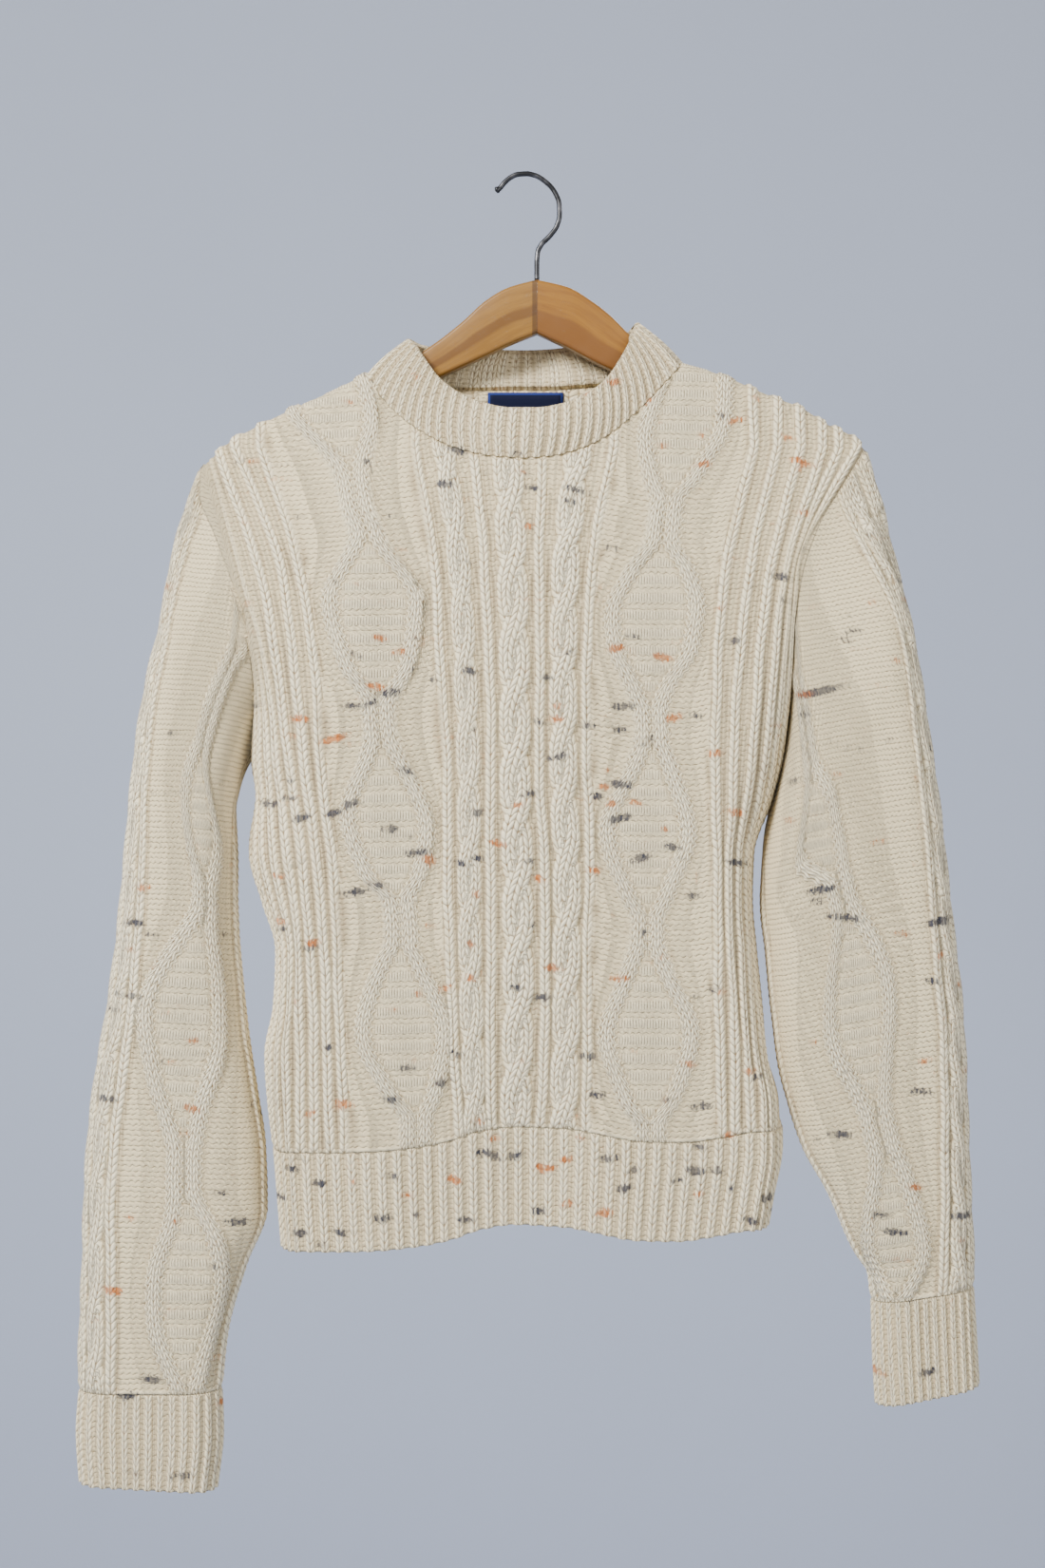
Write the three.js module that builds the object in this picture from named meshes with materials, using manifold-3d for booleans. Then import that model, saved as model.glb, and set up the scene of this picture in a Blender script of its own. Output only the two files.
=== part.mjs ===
// A cable knit sweater hanging on a wooden hanger, in millimetres.
// The origin is under the hook where it hangs, +X is the viewer's right, the front faces -Y, +Z is up.
import * as THREE from "three";
import Module from "manifold-3d";

const wasm = await Module();
wasm.setup();

// Knitted wall, seams and relief
const WALL = 3.6;
const BAND_WALL = 4.6;
const SEAM_GAP = 0.4;
const CUFF_GAP = 1;
const ARMHOLE_GAP = 1.2;
const UNDERARM_CLEARANCE = 1.4;
const ARMHOLE_HOLD = 0.3;
const RIB_HEIGHT = 2.2;
const CABLE_HEIGHT = 3.2;
const STRAND_DIP = 1.4;
const TRAVEL_HEIGHT = 2.6;
const EDGE_RIB_HEIGHT = 1.3;
const BAND_RIB_HEIGHT = 1.1;
const RIB_HALF = 4.2;
const TRAVEL_HALF = 4.6;
const FULL_SPACING = 2.6;

// Strands of a cable: their place across it, and how high the lower ones stand
const STRAND_PLACE = 0.55;
const LOW_STRAND = 0.5;
const MIDDLE_STRAND = 0.72;
const NEAR_SEAM = 0.6;

// How far the body stands out in front of the hanger's middle plane, and behind it
const FRONT_DEPTH = 40;
const BACK_DEPTH = 38;

// The share of that depth reached at each drop below the shoulder line
const RISE = [
  { drop: -30, share: 0 },
  { drop: 0, share: 0 },
  { drop: 2, share: 0.22 },
  { drop: 6, share: 0.31 },
  { drop: 14, share: 0.36 },
  { drop: 50, share: 0.52 },
  { drop: 100, share: 0.78 },
  { drop: 160, share: 0.94 },
  { drop: 230, share: 1 },
  { drop: 460, share: 1 },
  { drop: 640, share: 0.86 },
];

// Body at each height: the edge of the panels, the radius and the angle that they turn there
const BODY = [
  { z: -150, left: -240, leftRoll: 30, leftTurn: 0, right: 240, rightRoll: 25, rightTurn: 0 },
  { z: -190, left: -230, leftRoll: 30, leftTurn: 0, right: 227, rightRoll: 25, rightTurn: 0 },
  { z: -221, left: -231, leftRoll: 32, leftTurn: 4, right: 208, rightRoll: 28, rightTurn: 5 },
  { z: -250, left: -220, leftRoll: 36, leftTurn: 9, right: 192, rightRoll: 30, rightTurn: 12 },
  { z: -280, left: -208, leftRoll: 40, leftTurn: 17, right: 182, rightRoll: 32, rightTurn: 22 },
  { z: -315, left: -197, leftRoll: 42, leftTurn: 31, right: 177, rightRoll: 34, rightTurn: 34 },
  { z: -360, left: -193, leftRoll: 44, leftTurn: 60, right: 176, rightRoll: 34, rightTurn: 55 },
  { z: -404, left: -195, leftRoll: 45, leftTurn: 90, right: 171, rightRoll: 34, rightTurn: 78 },
  { z: -430, left: -192, leftRoll: 45, leftTurn: 90, right: 164, rightRoll: 33, rightTurn: 90 },
  { z: -470, left: -197, leftRoll: 44, leftTurn: 90, right: 150, rightRoll: 26, rightTurn: 90 },
  { z: -502, left: -188, leftRoll: 34, leftTurn: 90, right: 149, rightRoll: 24, rightTurn: 90 },
  { z: -536, left: -178, leftRoll: 20, leftTurn: 90, right: 152, rightRoll: 24, rightTurn: 90 },
  { z: -574, left: -180, leftRoll: 17, leftTurn: 90, right: 156, rightRoll: 22, rightTurn: 90 },
  { z: -606, left: -187, leftRoll: 16, leftTurn: 90, right: 160, rightRoll: 18, rightTurn: 90 },
  { z: -640, left: -184, leftRoll: 15, leftTurn: 90, right: 169, rightRoll: 15, rightTurn: 90 },
  { z: -670, left: -180, leftRoll: 15, leftTurn: 90, right: 170, rightRoll: 15, rightTurn: 90 },
  { z: -705, left: -177, leftRoll: 14, leftTurn: 90, right: 164, rightRoll: 14, rightTurn: 90 },
  { z: -745, left: -174, leftRoll: 14, leftTurn: 90, right: 157, rightRoll: 14, rightTurn: 90 },
];
const UNDERARM = { left: -404, right: -430 };

// Shoulder line over the whole width, with the line it would follow across the neck
const SHOULDER = [
  { x: -245, z: -212 },
  { x: -228, z: -199 },
  { x: -212, z: -184 },
  { x: -193, z: -173 },
  { x: -166, z: -160 },
  { x: -140, z: -149 },
  { x: -116, z: -137 },
  { x: -60, z: -121 },
  { x: 0, z: -115 },
  { x: 50, z: -117 },
  { x: 102, z: -130 },
  { x: 133, z: -139 },
  { x: 164, z: -152 },
  { x: 185, z: -160 },
  { x: 202, z: -171 },
  { x: 219, z: -179 },
  { x: 229, z: -190 },
  { x: 245, z: -206 },
];
const NECK = { left: -116, right: 102, middle: -8, frontShare: 0.58 };

// Necklines of the two panels between the neck points
const FRONT_NECK = [
  { x: -116, z: -137 },
  { x: -110, z: -149 },
  { x: -102, z: -160 },
  { x: -88, z: -173 },
  { x: -71, z: -184 },
  { x: -51, z: -193 },
  { x: -30, z: -197.5 },
  { x: -8, z: -199 },
  { x: 12, z: -197.5 },
  { x: 32, z: -192 },
  { x: 48, z: -184 },
  { x: 61, z: -174 },
  { x: 75, z: -161 },
  { x: 88, z: -147 },
  { x: 97, z: -137 },
  { x: 102, z: -130 },
];
const BACK_NECK = [
  { x: -116, z: -137 },
  { x: -90, z: -142 },
  { x: -50, z: -145 },
  { x: 0, z: -145 },
  { x: 45, z: -142 },
  { x: 80, z: -136 },
  { x: 102, z: -130 },
];

// Lower edge of the hem across the front, soft waves as it hangs, and the depth of its rib
const HEM = [
  { x: -200, z: -739 },
  { x: -140, z: -739 },
  { x: -109, z: -738 },
  { x: -77, z: -735 },
  { x: -57, z: -731 },
  { x: -38, z: -725 },
  { x: -14, z: -722 },
  { x: 21, z: -723 },
  { x: 46, z: -727 },
  { x: 69, z: -731 },
  { x: 100, z: -732 },
  { x: 124, z: -729 },
  { x: 148, z: -725 },
  { x: 200, z: -724 },
];
const HEM_RIB = 68;
const HEM_REACH = { left: -175, right: 170 };
const HEM_HEIGHT = -700;
const PANEL_FOOT = -660;

// Slack folds of the body: soft ridges running down, with their place, reach and size
const FOLDS = [
  { x: -120, z: -330, half: 26, reach: 120, out: 3 },
  { x: -20, z: -470, half: 40, reach: 160, out: 3.5 },
  { x: 112, z: -360, half: 24, reach: 110, out: 3 },
  { x: -14, z: -720, half: 30, reach: 90, out: -6 },
  { x: 66, z: -690, half: 32, reach: 110, out: 4 },
  { x: -110, z: -700, half: 36, reach: 120, out: 4 },
  { x: 118, z: -560, half: 26, reach: 130, out: 3 },
];

// Places of the ribs across the panel at seven heights
const RIB_HEIGHTS = [-190, -280, -340, -410, -480, -560, -660];
const RIBS = {
  left8: [-233.2, -207.3, -196, -214, -207, -196, -199],
  left7: [-232.2, -206.2, -194, -204, -197, -187, -189],
  left6: [-231, -205, -192, -194, -187, -178, -179],
  left5: [-229.6, -203.4, -189, -184, -177, -169, -169],
  left4: [-227, -199, -184, -175, -167, -160, -159],
  left3: [-219, -187, -175, -166, -157, -151, -149],
  left2: [-206, -172, -163, -156, -147, -142, -139],
  left1: [-189, -159, -150, -145, -137, -133, -129],
  centre1: [-82, -68, -64, -60, -59, -57, -51],
  centre2: [-43, -34, -31, -30, -30, -30, -30],
  centre3: [5, 3, 3, 3, 6, 7, 3],
  centre4: [54, 38, 35, 35, 37, 35, 35],
  right1: [150, 129, 123, 122, 123, 124, 126],
  right2: [167, 145, 138, 134, 133, 134, 136],
  right3: [183, 159, 152, 147, 143, 144, 146],
  right4: [198, 170, 163, 159, 153, 154, 156],
  right5: [209, 176, 171, 168, 162, 163, 165],
  right6: [222, 179, 177, 177, 170, 171, 174],
};

// Diamond columns: the middle of the pair of travelling cables and half the way between them
const LEFT_DIAMONDS = [
  { z: -133, middle: -146, spread: 24 },
  { z: -163, middle: -140, spread: 27 },
  { z: -205, middle: -126, spread: 8 },
  { z: -234, middle: -121, spread: 4 },
  { z: -252, middle: -114, spread: 6 },
  { z: -297, middle: -110, spread: 29 },
  { z: -341, middle: -107, spread: 21 },
  { z: -367, middle: -106, spread: 6 },
  { z: -383, middle: -105, spread: 4 },
  { z: -398, middle: -104, spread: 8 },
  { z: -447, middle: -100, spread: 26 },
  { z: -483, middle: -96, spread: 18 },
  { z: -505, middle: -92, spread: 4 },
  { z: -527, middle: -91, spread: 4 },
  { z: -540, middle: -91, spread: 11 },
  { z: -591, middle: -89, spread: 27 },
  { z: -627, middle: -84, spread: 17 },
  { z: -653, middle: -80, spread: 5 },
  { z: -680, middle: -80, spread: 5 },
];
const RIGHT_DIAMONDS = [
  { z: -133, middle: 112, spread: 20 },
  { z: -178, middle: 102, spread: 26 },
  { z: -213, middle: 94, spread: 15 },
  { z: -234, middle: 89, spread: 4 },
  { z: -254, middle: 87, spread: 5 },
  { z: -278, middle: 84, spread: 19 },
  { z: -305, middle: 81, spread: 28 },
  { z: -328, middle: 80, spread: 26 },
  { z: -358, middle: 78, spread: 11 },
  { z: -383, middle: 79, spread: 4 },
  { z: -408, middle: 79, spread: 11 },
  { z: -454, middle: 76, spread: 27 },
  { z: -496, middle: 76, spread: 14 },
  { z: -519, middle: 76, spread: 4 },
  { z: -547, middle: 76, spread: 12 },
  { z: -591, middle: 77, spread: 28 },
  { z: -636, middle: 77, spread: 16 },
  { z: -656, middle: 78, spread: 4 },
  { z: -680, middle: 78, spread: 4 },
];

// Half the width of the three rope cables between the ribs of the middle
const ROPE_HALF = { rope1: 8, rope2: 10.5, rope3: 9.5 };

// Sleeves, a row for each section: outer and inner edge, half depth, place in depth, end radius
const LEFT_SLEEVE = [
  { outerX: -228, outerZ: -199, innerX: -197, innerZ: -404, depth: 33, y: -2, roll: 50 },
  { outerX: -236, outerZ: -222, innerX: -201, innerZ: -411, depth: 33, y: -2, roll: 48 },
  { outerX: -244, outerZ: -248, innerX: -204, innerZ: -420, depth: 33, y: -3, roll: 44 },
  { outerX: -251, outerZ: -277, innerX: -206, innerZ: -430, depth: 33, y: -4, roll: 40 },
  { outerX: -257, outerZ: -310, innerX: -208, innerZ: -442, depth: 33, y: -5, roll: 38 },
  { outerX: -265, outerZ: -343, innerX: -208, innerZ: -457, depth: 33, y: -6, roll: 36 },
  { outerX: -272, outerZ: -382, innerX: -208, innerZ: -474, depth: 32, y: -7, roll: 34 },
  { outerX: -277, outerZ: -425, innerX: -208, innerZ: -496, depth: 32, y: -8, roll: 33 },
  { outerX: -281, outerZ: -471, innerX: -207, innerZ: -522, depth: 31, y: -9, roll: 32 },
  { outerX: -286, outerZ: -524, innerX: -204, innerZ: -556, depth: 30, y: -10, roll: 32 },
  { outerX: -293, outerZ: -576, innerX: -200, innerZ: -593, depth: 28, y: -10, roll: 32 },
  { outerX: -302, outerZ: -629, innerX: -194, innerZ: -632, depth: 26, y: -10, roll: 32 },
  { outerX: -307, outerZ: -675, innerX: -188, innerZ: -675, depth: 25, y: -10, roll: 32 },
  { outerX: -309, outerZ: -714, innerX: -187, innerZ: -714, depth: 25, y: -10, roll: 32 },
  { outerX: -310, outerZ: -754, innerX: -201, innerZ: -754, depth: 24, y: -10, roll: 30 },
  { outerX: -312, outerZ: -800, innerX: -214, innerZ: -800, depth: 21, y: -10, roll: 26 },
  { outerX: -313, outerZ: -838, innerX: -218, innerZ: -838, depth: 19, y: -10, roll: 22 },
];
const RIGHT_SLEEVE = [
  { outerX: 229, outerZ: -190, innerX: 166, innerZ: -430, depth: 33, y: -2, roll: 50 },
  { outerX: 235, outerZ: -211, innerX: 163, innerZ: -443, depth: 33, y: -3, roll: 48 },
  { outerX: 240, outerZ: -234, innerX: 160, innerZ: -455, depth: 33, y: -5, roll: 46 },
  { outerX: 245, outerZ: -258, innerX: 158, innerZ: -468, depth: 33, y: -7, roll: 44 },
  { outerX: 251, outerZ: -284, innerX: 157, innerZ: -483, depth: 33, y: -9, roll: 42 },
  { outerX: 258, outerZ: -315, innerX: 157, innerZ: -497, depth: 33, y: -11, roll: 40 },
  { outerX: 264, outerZ: -350, innerX: 158, innerZ: -512, depth: 32, y: -12, roll: 38 },
  { outerX: 270, outerZ: -392, innerX: 160, innerZ: -530, depth: 32, y: -13, roll: 36 },
  { outerX: 276, outerZ: -435, innerX: 162, innerZ: -553, depth: 31, y: -14, roll: 34 },
  { outerX: 281, outerZ: -479, innerX: 165, innerZ: -581, depth: 30, y: -14, roll: 33 },
  { outerX: 286, outerZ: -524, innerX: 169, innerZ: -612, depth: 29, y: -14, roll: 32 },
  { outerX: 291, outerZ: -566, innerX: 176, innerZ: -641, depth: 28, y: -14, roll: 31 },
  { outerX: 294, outerZ: -609, innerX: 186, innerZ: -671, depth: 26, y: -14, roll: 30 },
  { outerX: 296, outerZ: -655, innerX: 204, innerZ: -704, depth: 25, y: -13, roll: 29 },
  { outerX: 298, outerZ: -701, innerX: 221, innerZ: -742, depth: 23, y: -12, roll: 28 },
  { outerX: 300, outerZ: -741, innerX: 232, innerZ: -760, depth: 21, y: -11, roll: 24 },
  { outerX: 301, outerZ: -767, innerX: 234, innerZ: -777, depth: 19, y: -10, roll: 21 },
];
const LEFT_CUFF = [
  { outerX: -313, outerZ: -838, innerX: -218, innerZ: -838, depth: 19, y: -10, roll: 20 },
  { outerX: -315, outerZ: -868, innerX: -217, innerZ: -868, depth: 18, y: -10, roll: 18 },
  { outerX: -313, outerZ: -902, innerX: -221, innerZ: -907, depth: 16, y: -10, roll: 16 },
];
const RIGHT_CUFF = [
  { outerX: 301, outerZ: -767, innerX: 234, innerZ: -777, depth: 19, y: -10, roll: 20 },
  { outerX: 303, outerZ: -800, innerX: 235, innerZ: -812, depth: 18, y: -10, roll: 18 },
  { outerX: 305, outerZ: -835, innerX: 237, innerZ: -849, depth: 17, y: -10, roll: 17 },
];

// About the length of a cuff, and half the way round a sleeve over its lower part
const CUFF_LENGTH = 70;
const SLEEVE_HALF = 130;

// Sleeve diamonds: share of the way down, share across the front from the outer edge, half width
const SLEEVE_DIAMONDS = {
  left: [
    { down: 0, middle: 0.55, spread: 18 },
    { down: 0.1, middle: 0.58, spread: 5 },
    { down: 0.24, middle: 0.6, spread: 5 },
    { down: 0.37, middle: 0.66, spread: 19 },
    { down: 0.48, middle: 0.7, spread: 5 },
    { down: 0.62, middle: 0.56, spread: 25 },
    { down: 0.77, middle: 0.56, spread: 5 },
    { down: 0.89, middle: 0.66, spread: 23 },
    { down: 1, middle: 0.74, spread: 5 },
  ],
  right: [
    { down: 0, middle: 0.56, spread: 20 },
    { down: 0.12, middle: 0.6, spread: 5 },
    { down: 0.22, middle: 0.64, spread: 5 },
    { down: 0.35, middle: 0.66, spread: 22 },
    { down: 0.48, middle: 0.58, spread: 5 },
    { down: 0.62, middle: 0.56, spread: 25 },
    { down: 0.77, middle: 0.57, spread: 5 },
    { down: 0.88, middle: 0.66, spread: 20 },
    { down: 1, middle: 0.74, spread: 5 },
  ],
};

// Upper edge of the neckband, all round from the left neck point over the front
const BAND_EDGE = [
  { x: -87, y: 0, z: -112 },
  { x: -83, y: -9, z: -117 },
  { x: -76, y: -15, z: -128 },
  { x: -66, y: -19, z: -142 },
  { x: -52, y: -22, z: -153 },
  { x: -37, y: -24, z: -160 },
  { x: -16, y: -26, z: -164 },
  { x: 1, y: -26, z: -164 },
  { x: 19, y: -25, z: -161 },
  { x: 33, y: -23, z: -155 },
  { x: 47, y: -20, z: -145 },
  { x: 57, y: -16, z: -131 },
  { x: 66, y: -13, z: -114 },
  { x: 70, y: 0, z: -101 },
  { x: 64, y: 12, z: -106 },
  { x: 42, y: 20, z: -112 },
  { x: 0, y: 25, z: -116 },
  { x: -42, y: 21, z: -116 },
  { x: -78, y: 12, z: -114 },
];
const BAND_RIGHT_ROW = 13;
const BAND_BULGE = 2.4;
const BAND_START = 0.045;

// Wooden hanger: top and bottom line of each arm, its thickness and its rounded edge
const ARM_THICK = 12;
const ARM_ROUND = 3.2;
const ARM_LEFT = [
  { x: 1.2, top: -71.5, bottom: -109 },
  { x: -18.5, top: -77, bottom: -117 },
  { x: -34, top: -86, bottom: -124.5 },
  { x: -50, top: -100.5, bottom: -132 },
  { x: -65, top: -112.5, bottom: -139 },
  { x: -75, top: -119.5, bottom: -144 },
  { x: -92, top: -132, bottom: -153 },
  { x: -110, top: -146, bottom: -163 },
  { x: -140, top: -155, bottom: -176 },
  { x: -166, top: -166, bottom: -188 },
  { x: -193, top: -180, bottom: -201 },
  { x: -212, top: -192, bottom: -209 },
  { x: -219, top: -200, bottom: -208 },
];
const ARM_RIGHT = [
  { x: 1.5, top: -71.5, bottom: -109 },
  { x: 23, top: -76.7, bottom: -119 },
  { x: 39, top: -86, bottom: -127.5 },
  { x: 52, top: -96, bottom: -134 },
  { x: 66, top: -110, bottom: -140 },
  { x: 82, top: -125, bottom: -148 },
  { x: 97, top: -137.5, bottom: -156 },
  { x: 133, top: -145, bottom: -169 },
  { x: 164, top: -158, bottom: -181 },
  { x: 185, top: -167, bottom: -189 },
  { x: 202, top: -178, bottom: -197 },
  { x: 214, top: -185, bottom: -200 },
  { x: 220, top: -191, bottom: -199 },
];

// Hook: a wire bent from its ball tip over the nail side and down into the wood
const WIRE_RADIUS = 1.6;
const TIP_RADIUS = 2.4;
const HOOK = [
  { x: -27.8, z: -9.2 },
  { x: -24.6, z: -7.4 },
  { x: -21, z: -3.2 },
  { x: -16.6, z: 0.4 },
  { x: -11.9, z: 2.4 },
  { x: -5.5, z: 2.8 },
  { x: 0, z: 1.7 },
  { x: 7, z: -2.4 },
  { x: 13.5, z: -9.4 },
  { x: 17, z: -18.6 },
  { x: 17.2, z: -26 },
  { x: 15.2, z: -33.7 },
  { x: 9.9, z: -41 },
  { x: 4.6, z: -46.4 },
  { x: 2, z: -52 },
  { x: 1.4, z: -60 },
  { x: 1.4, z: -71.1 },
];

// Neck label on the inside of the back
const LABEL = { left: -33, right: 20, top: -152, bottom: -174, thick: 0.9 };

// Grid densities
const PANEL_ROWS = 25;
const SLEEVE_ROWS = 26;
const HEM_RIBS = 30;
const CUFF_RIBS = 22;
const BAND_RIBS = 46;
const INNER_SIDE = 13;
const INNER_DOWN = 13;
const TOP_CLOSENESS = 0.35;
const ARMPIT = { reach: 0.12, rows: 9 };
const TOP_SEARCH = { low: -260, high: -100, steps: 40 };

// A named column of a table at a place along it, as a smooth curve through its rows
function read(table, key, column, at) {
  const step = table[1][key] > table[0][key] ? 1 : -1;
  const last = table.length - 1;
  let i = 0;
  while (i < last - 1 && step * (table[i + 1][key] - at) < 0) i += 1;
  const a = table[i];
  const b = table[i + 1];
  const span = b[key] - a[key];
  const t = Math.min(1, Math.max(0, (at - a[key]) / span));
  const rise = b[column] - a[column];
  const before = i > 0 ? slope(table[i - 1], a, key, column) : rise / span;
  const after = i < last - 1 ? slope(b, table[i + 2], key, column) : rise / span;
  const start = eased(before, rise / span) * span;
  const end = eased(after, rise / span) * span;
  const t2 = t * t;
  const t3 = t2 * t;
  return a[column] + rise * (3 * t2 - 2 * t3) + start * (t3 - 2 * t2 + t) + end * (t3 - t2);
}

function slope(a, b, key, column) {
  return (b[column] - a[column]) / (b[key] - a[key]);
}

// The slope where two stretches meet: none at a turn, else their harmonic mean, so nothing overshoots
function eased(one, two) {
  return one * two <= 0 ? 0 : (2 * one * two) / (one + two);
}

function blend(a, b, share) {
  return a + (b - a) * share;
}

// The length of a quarter of an ellipse, nearly
function quarterOf(radius, depth) {
  return (Math.PI / 4) * Math.hypot(radius, depth) * Math.SQRT2;
}

// One point of a half section that is flat in the middle and turns in at its end
function rolled(distance, flat, radius, depth, turn) {
  const quarter = quarterOf(radius, depth);
  const angle = Math.min(turn, ((distance - flat) / quarter) * (Math.PI / 2));
  if (distance <= flat) return { along: distance, share: 1 };
  return { along: flat + radius * Math.sin(angle), share: Math.cos(angle) };
}

function bodySide(z, side) {
  const edge = read(BODY, "z", side, z);
  const radius = read(BODY, "z", side + "Roll", z);
  const turn = (read(BODY, "z", side + "Turn", z) * Math.PI) / 180;
  const flat = Math.abs(edge) - radius * Math.sin(turn);
  const quarter = quarterOf(radius, FRONT_DEPTH);
  return { flat, radius, turn, end: flat + (quarter * turn) / (Math.PI / 2) };
}

// A point of the body's outer form, across in millimetres of cloth from the middle
function bodyPoint(across, z, back) {
  const depth = back ? BACK_DEPTH : FRONT_DEPTH;
  const sign = across < 0 ? -1 : 1;
  const side = bodySide(z, across < 0 ? "left" : "right");
  const at = Math.min(Math.abs(across), side.end);
  const { along, share } = rolled(at, side.flat, side.radius, FRONT_DEPTH, side.turn);
  const x = sign * along;
  const drop = read(SHOULDER, "x", "z", x) - z;
  const out = depth * read(RISE, "drop", "share", drop) * share + fold(x, z) * share;
  return new THREE.Vector3(x, (back ? 1 : -1) * (out + SEAM_GAP / 2), z);
}

function fold(x, z) {
  let out = 0;
  for (const f of FOLDS) {
    const u = (x - f.x) / f.half;
    const v = (z - f.z) / f.reach;
    out += f.out * Math.exp(-u * u - v * v);
  }
  return out;
}

// Where a line across the chart meets the shoulder or the neckline
function topOf(lineAt, back) {
  const neck = back ? BACK_NECK : FRONT_NECK;
  let { low, high } = TOP_SEARCH;
  for (let i = 0; i < TOP_SEARCH.steps; i += 1) {
    const z = (low + high) / 2;
    const x = lineAt(z);
    const inNeck = x > NECK.left && x < NECK.right;
    const edge = read(inNeck ? neck : SHOULDER, "x", "z", x);
    if (z > edge) high = z;
    else low = z;
  }
  return (low + high) / 2;
}

function hemTop(x) {
  return read(HEM, "x", "z", x) + HEM_RIB;
}

function withinHem(across) {
  return Math.max(HEM_REACH.left, Math.min(HEM_REACH.right, across));
}

// Columns of the panel's chart, each a place across at any height and the height it is raised
function panelColumns() {
  const rib = (name) => (z) => {
    const rows = RIB_HEIGHTS.map((height, i) => ({ z: height, place: RIBS[name][i] }));
    return read(rows, "z", "place", z);
  };
  const columns = [];
  const add = (lineAt, height, kind = "flat") => columns.push({ lineAt, height, kind });
  const between = (one, two, share) => (z) => blend(one(z), two(z), share);
  const beside = (line, width) => (z) => line(z) + width;
  const ribs = (names) => {
    names.forEach((name, i) => {
      add(rib(name), RIB_HEIGHT, "rib");
      if (i < names.length - 1) add(between(rib(name), rib(names[i + 1]), 0.5), 0);
    });
  };
  const diamonds = (table) => {
    const middle = (z) => read(table, "z", "middle", z);
    const spread = (z) => read(table, "z", "spread", z);
    const inner = (z) => Math.min(TRAVEL_HALF, spread(z) * STRAND_PLACE);
    add((z) => middle(z) - spread(z) - TRAVEL_HALF, 0);
    add((z) => middle(z) - spread(z), TRAVEL_HEIGHT);
    add((z) => middle(z) - spread(z) + inner(z), STRAND_DIP);
    add(middle, STRAND_DIP, "ladder");
    add((z) => middle(z) + spread(z) - inner(z), STRAND_DIP);
    add((z) => middle(z) + spread(z), TRAVEL_HEIGHT);
    add((z) => middle(z) + spread(z) + TRAVEL_HALF, 0);
  };
  // A plain column in the middle of the purl ground between a diamond and a rib
  const purl = (table, side, ribLine) => {
    const reach = (z) => read(table, "z", "spread", z) + TRAVEL_HALF;
    const edge = (z) => read(table, "z", "middle", z) + side * reach(z);
    add(between(edge, beside(ribLine, -side * RIB_HALF), 0.5), 0);
  };
  const rope = (left, right, half) => {
    const middle = between(rib(left), rib(right), 0.5);
    add(beside(rib(left), RIB_HALF), 0);
    add(beside(middle, -half * STRAND_PLACE), CABLE_HEIGHT, "ropeLeft");
    add(middle, CABLE_HEIGHT, "ropeMiddle");
    add(beside(middle, half * STRAND_PLACE), CABLE_HEIGHT, "ropeRight");
    add(beside(rib(right), -RIB_HALF), 0);
    add(rib(right), RIB_HEIGHT, "rib");
  };
  add((z) => -bodySide(z, "left").end, 0, "edge");
  ribs(["left8", "left7", "left6", "left5", "left4", "left3", "left2", "left1"]);
  add(beside(rib("left1"), RIB_HALF), 0);
  diamonds(LEFT_DIAMONDS);
  purl(LEFT_DIAMONDS, 1, rib("centre1"));
  add(beside(rib("centre1"), -RIB_HALF), 0);
  add(rib("centre1"), RIB_HEIGHT, "rib");
  rope("centre1", "centre2", ROPE_HALF.rope1);
  rope("centre2", "centre3", ROPE_HALF.rope2);
  rope("centre3", "centre4", ROPE_HALF.rope3);
  add(beside(rib("centre4"), RIB_HALF), 0);
  purl(RIGHT_DIAMONDS, -1, rib("centre4"));
  diamonds(RIGHT_DIAMONDS);
  add(beside(rib("right1"), -RIB_HALF), 0);
  ribs(["right1", "right2", "right3", "right4", "right5", "right6"]);
  add((z) => bodySide(z, "right").end, 0, "edge");
  return columns;
}

// A rope's strands pass to and fro, so its left and right stand high in turn
function raised(column, row) {
  const odd = row % 2;
  if (column.kind === "ropeLeft") return odd ? column.height : column.height * LOW_STRAND;
  if (column.kind === "ropeRight") return odd ? column.height * LOW_STRAND : column.height;
  if (column.kind === "ropeMiddle") return column.height * MIDDLE_STRAND;
  if (column.kind === "ladder") return odd ? column.height : column.height * LOW_STRAND;
  return column.height;
}

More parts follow.
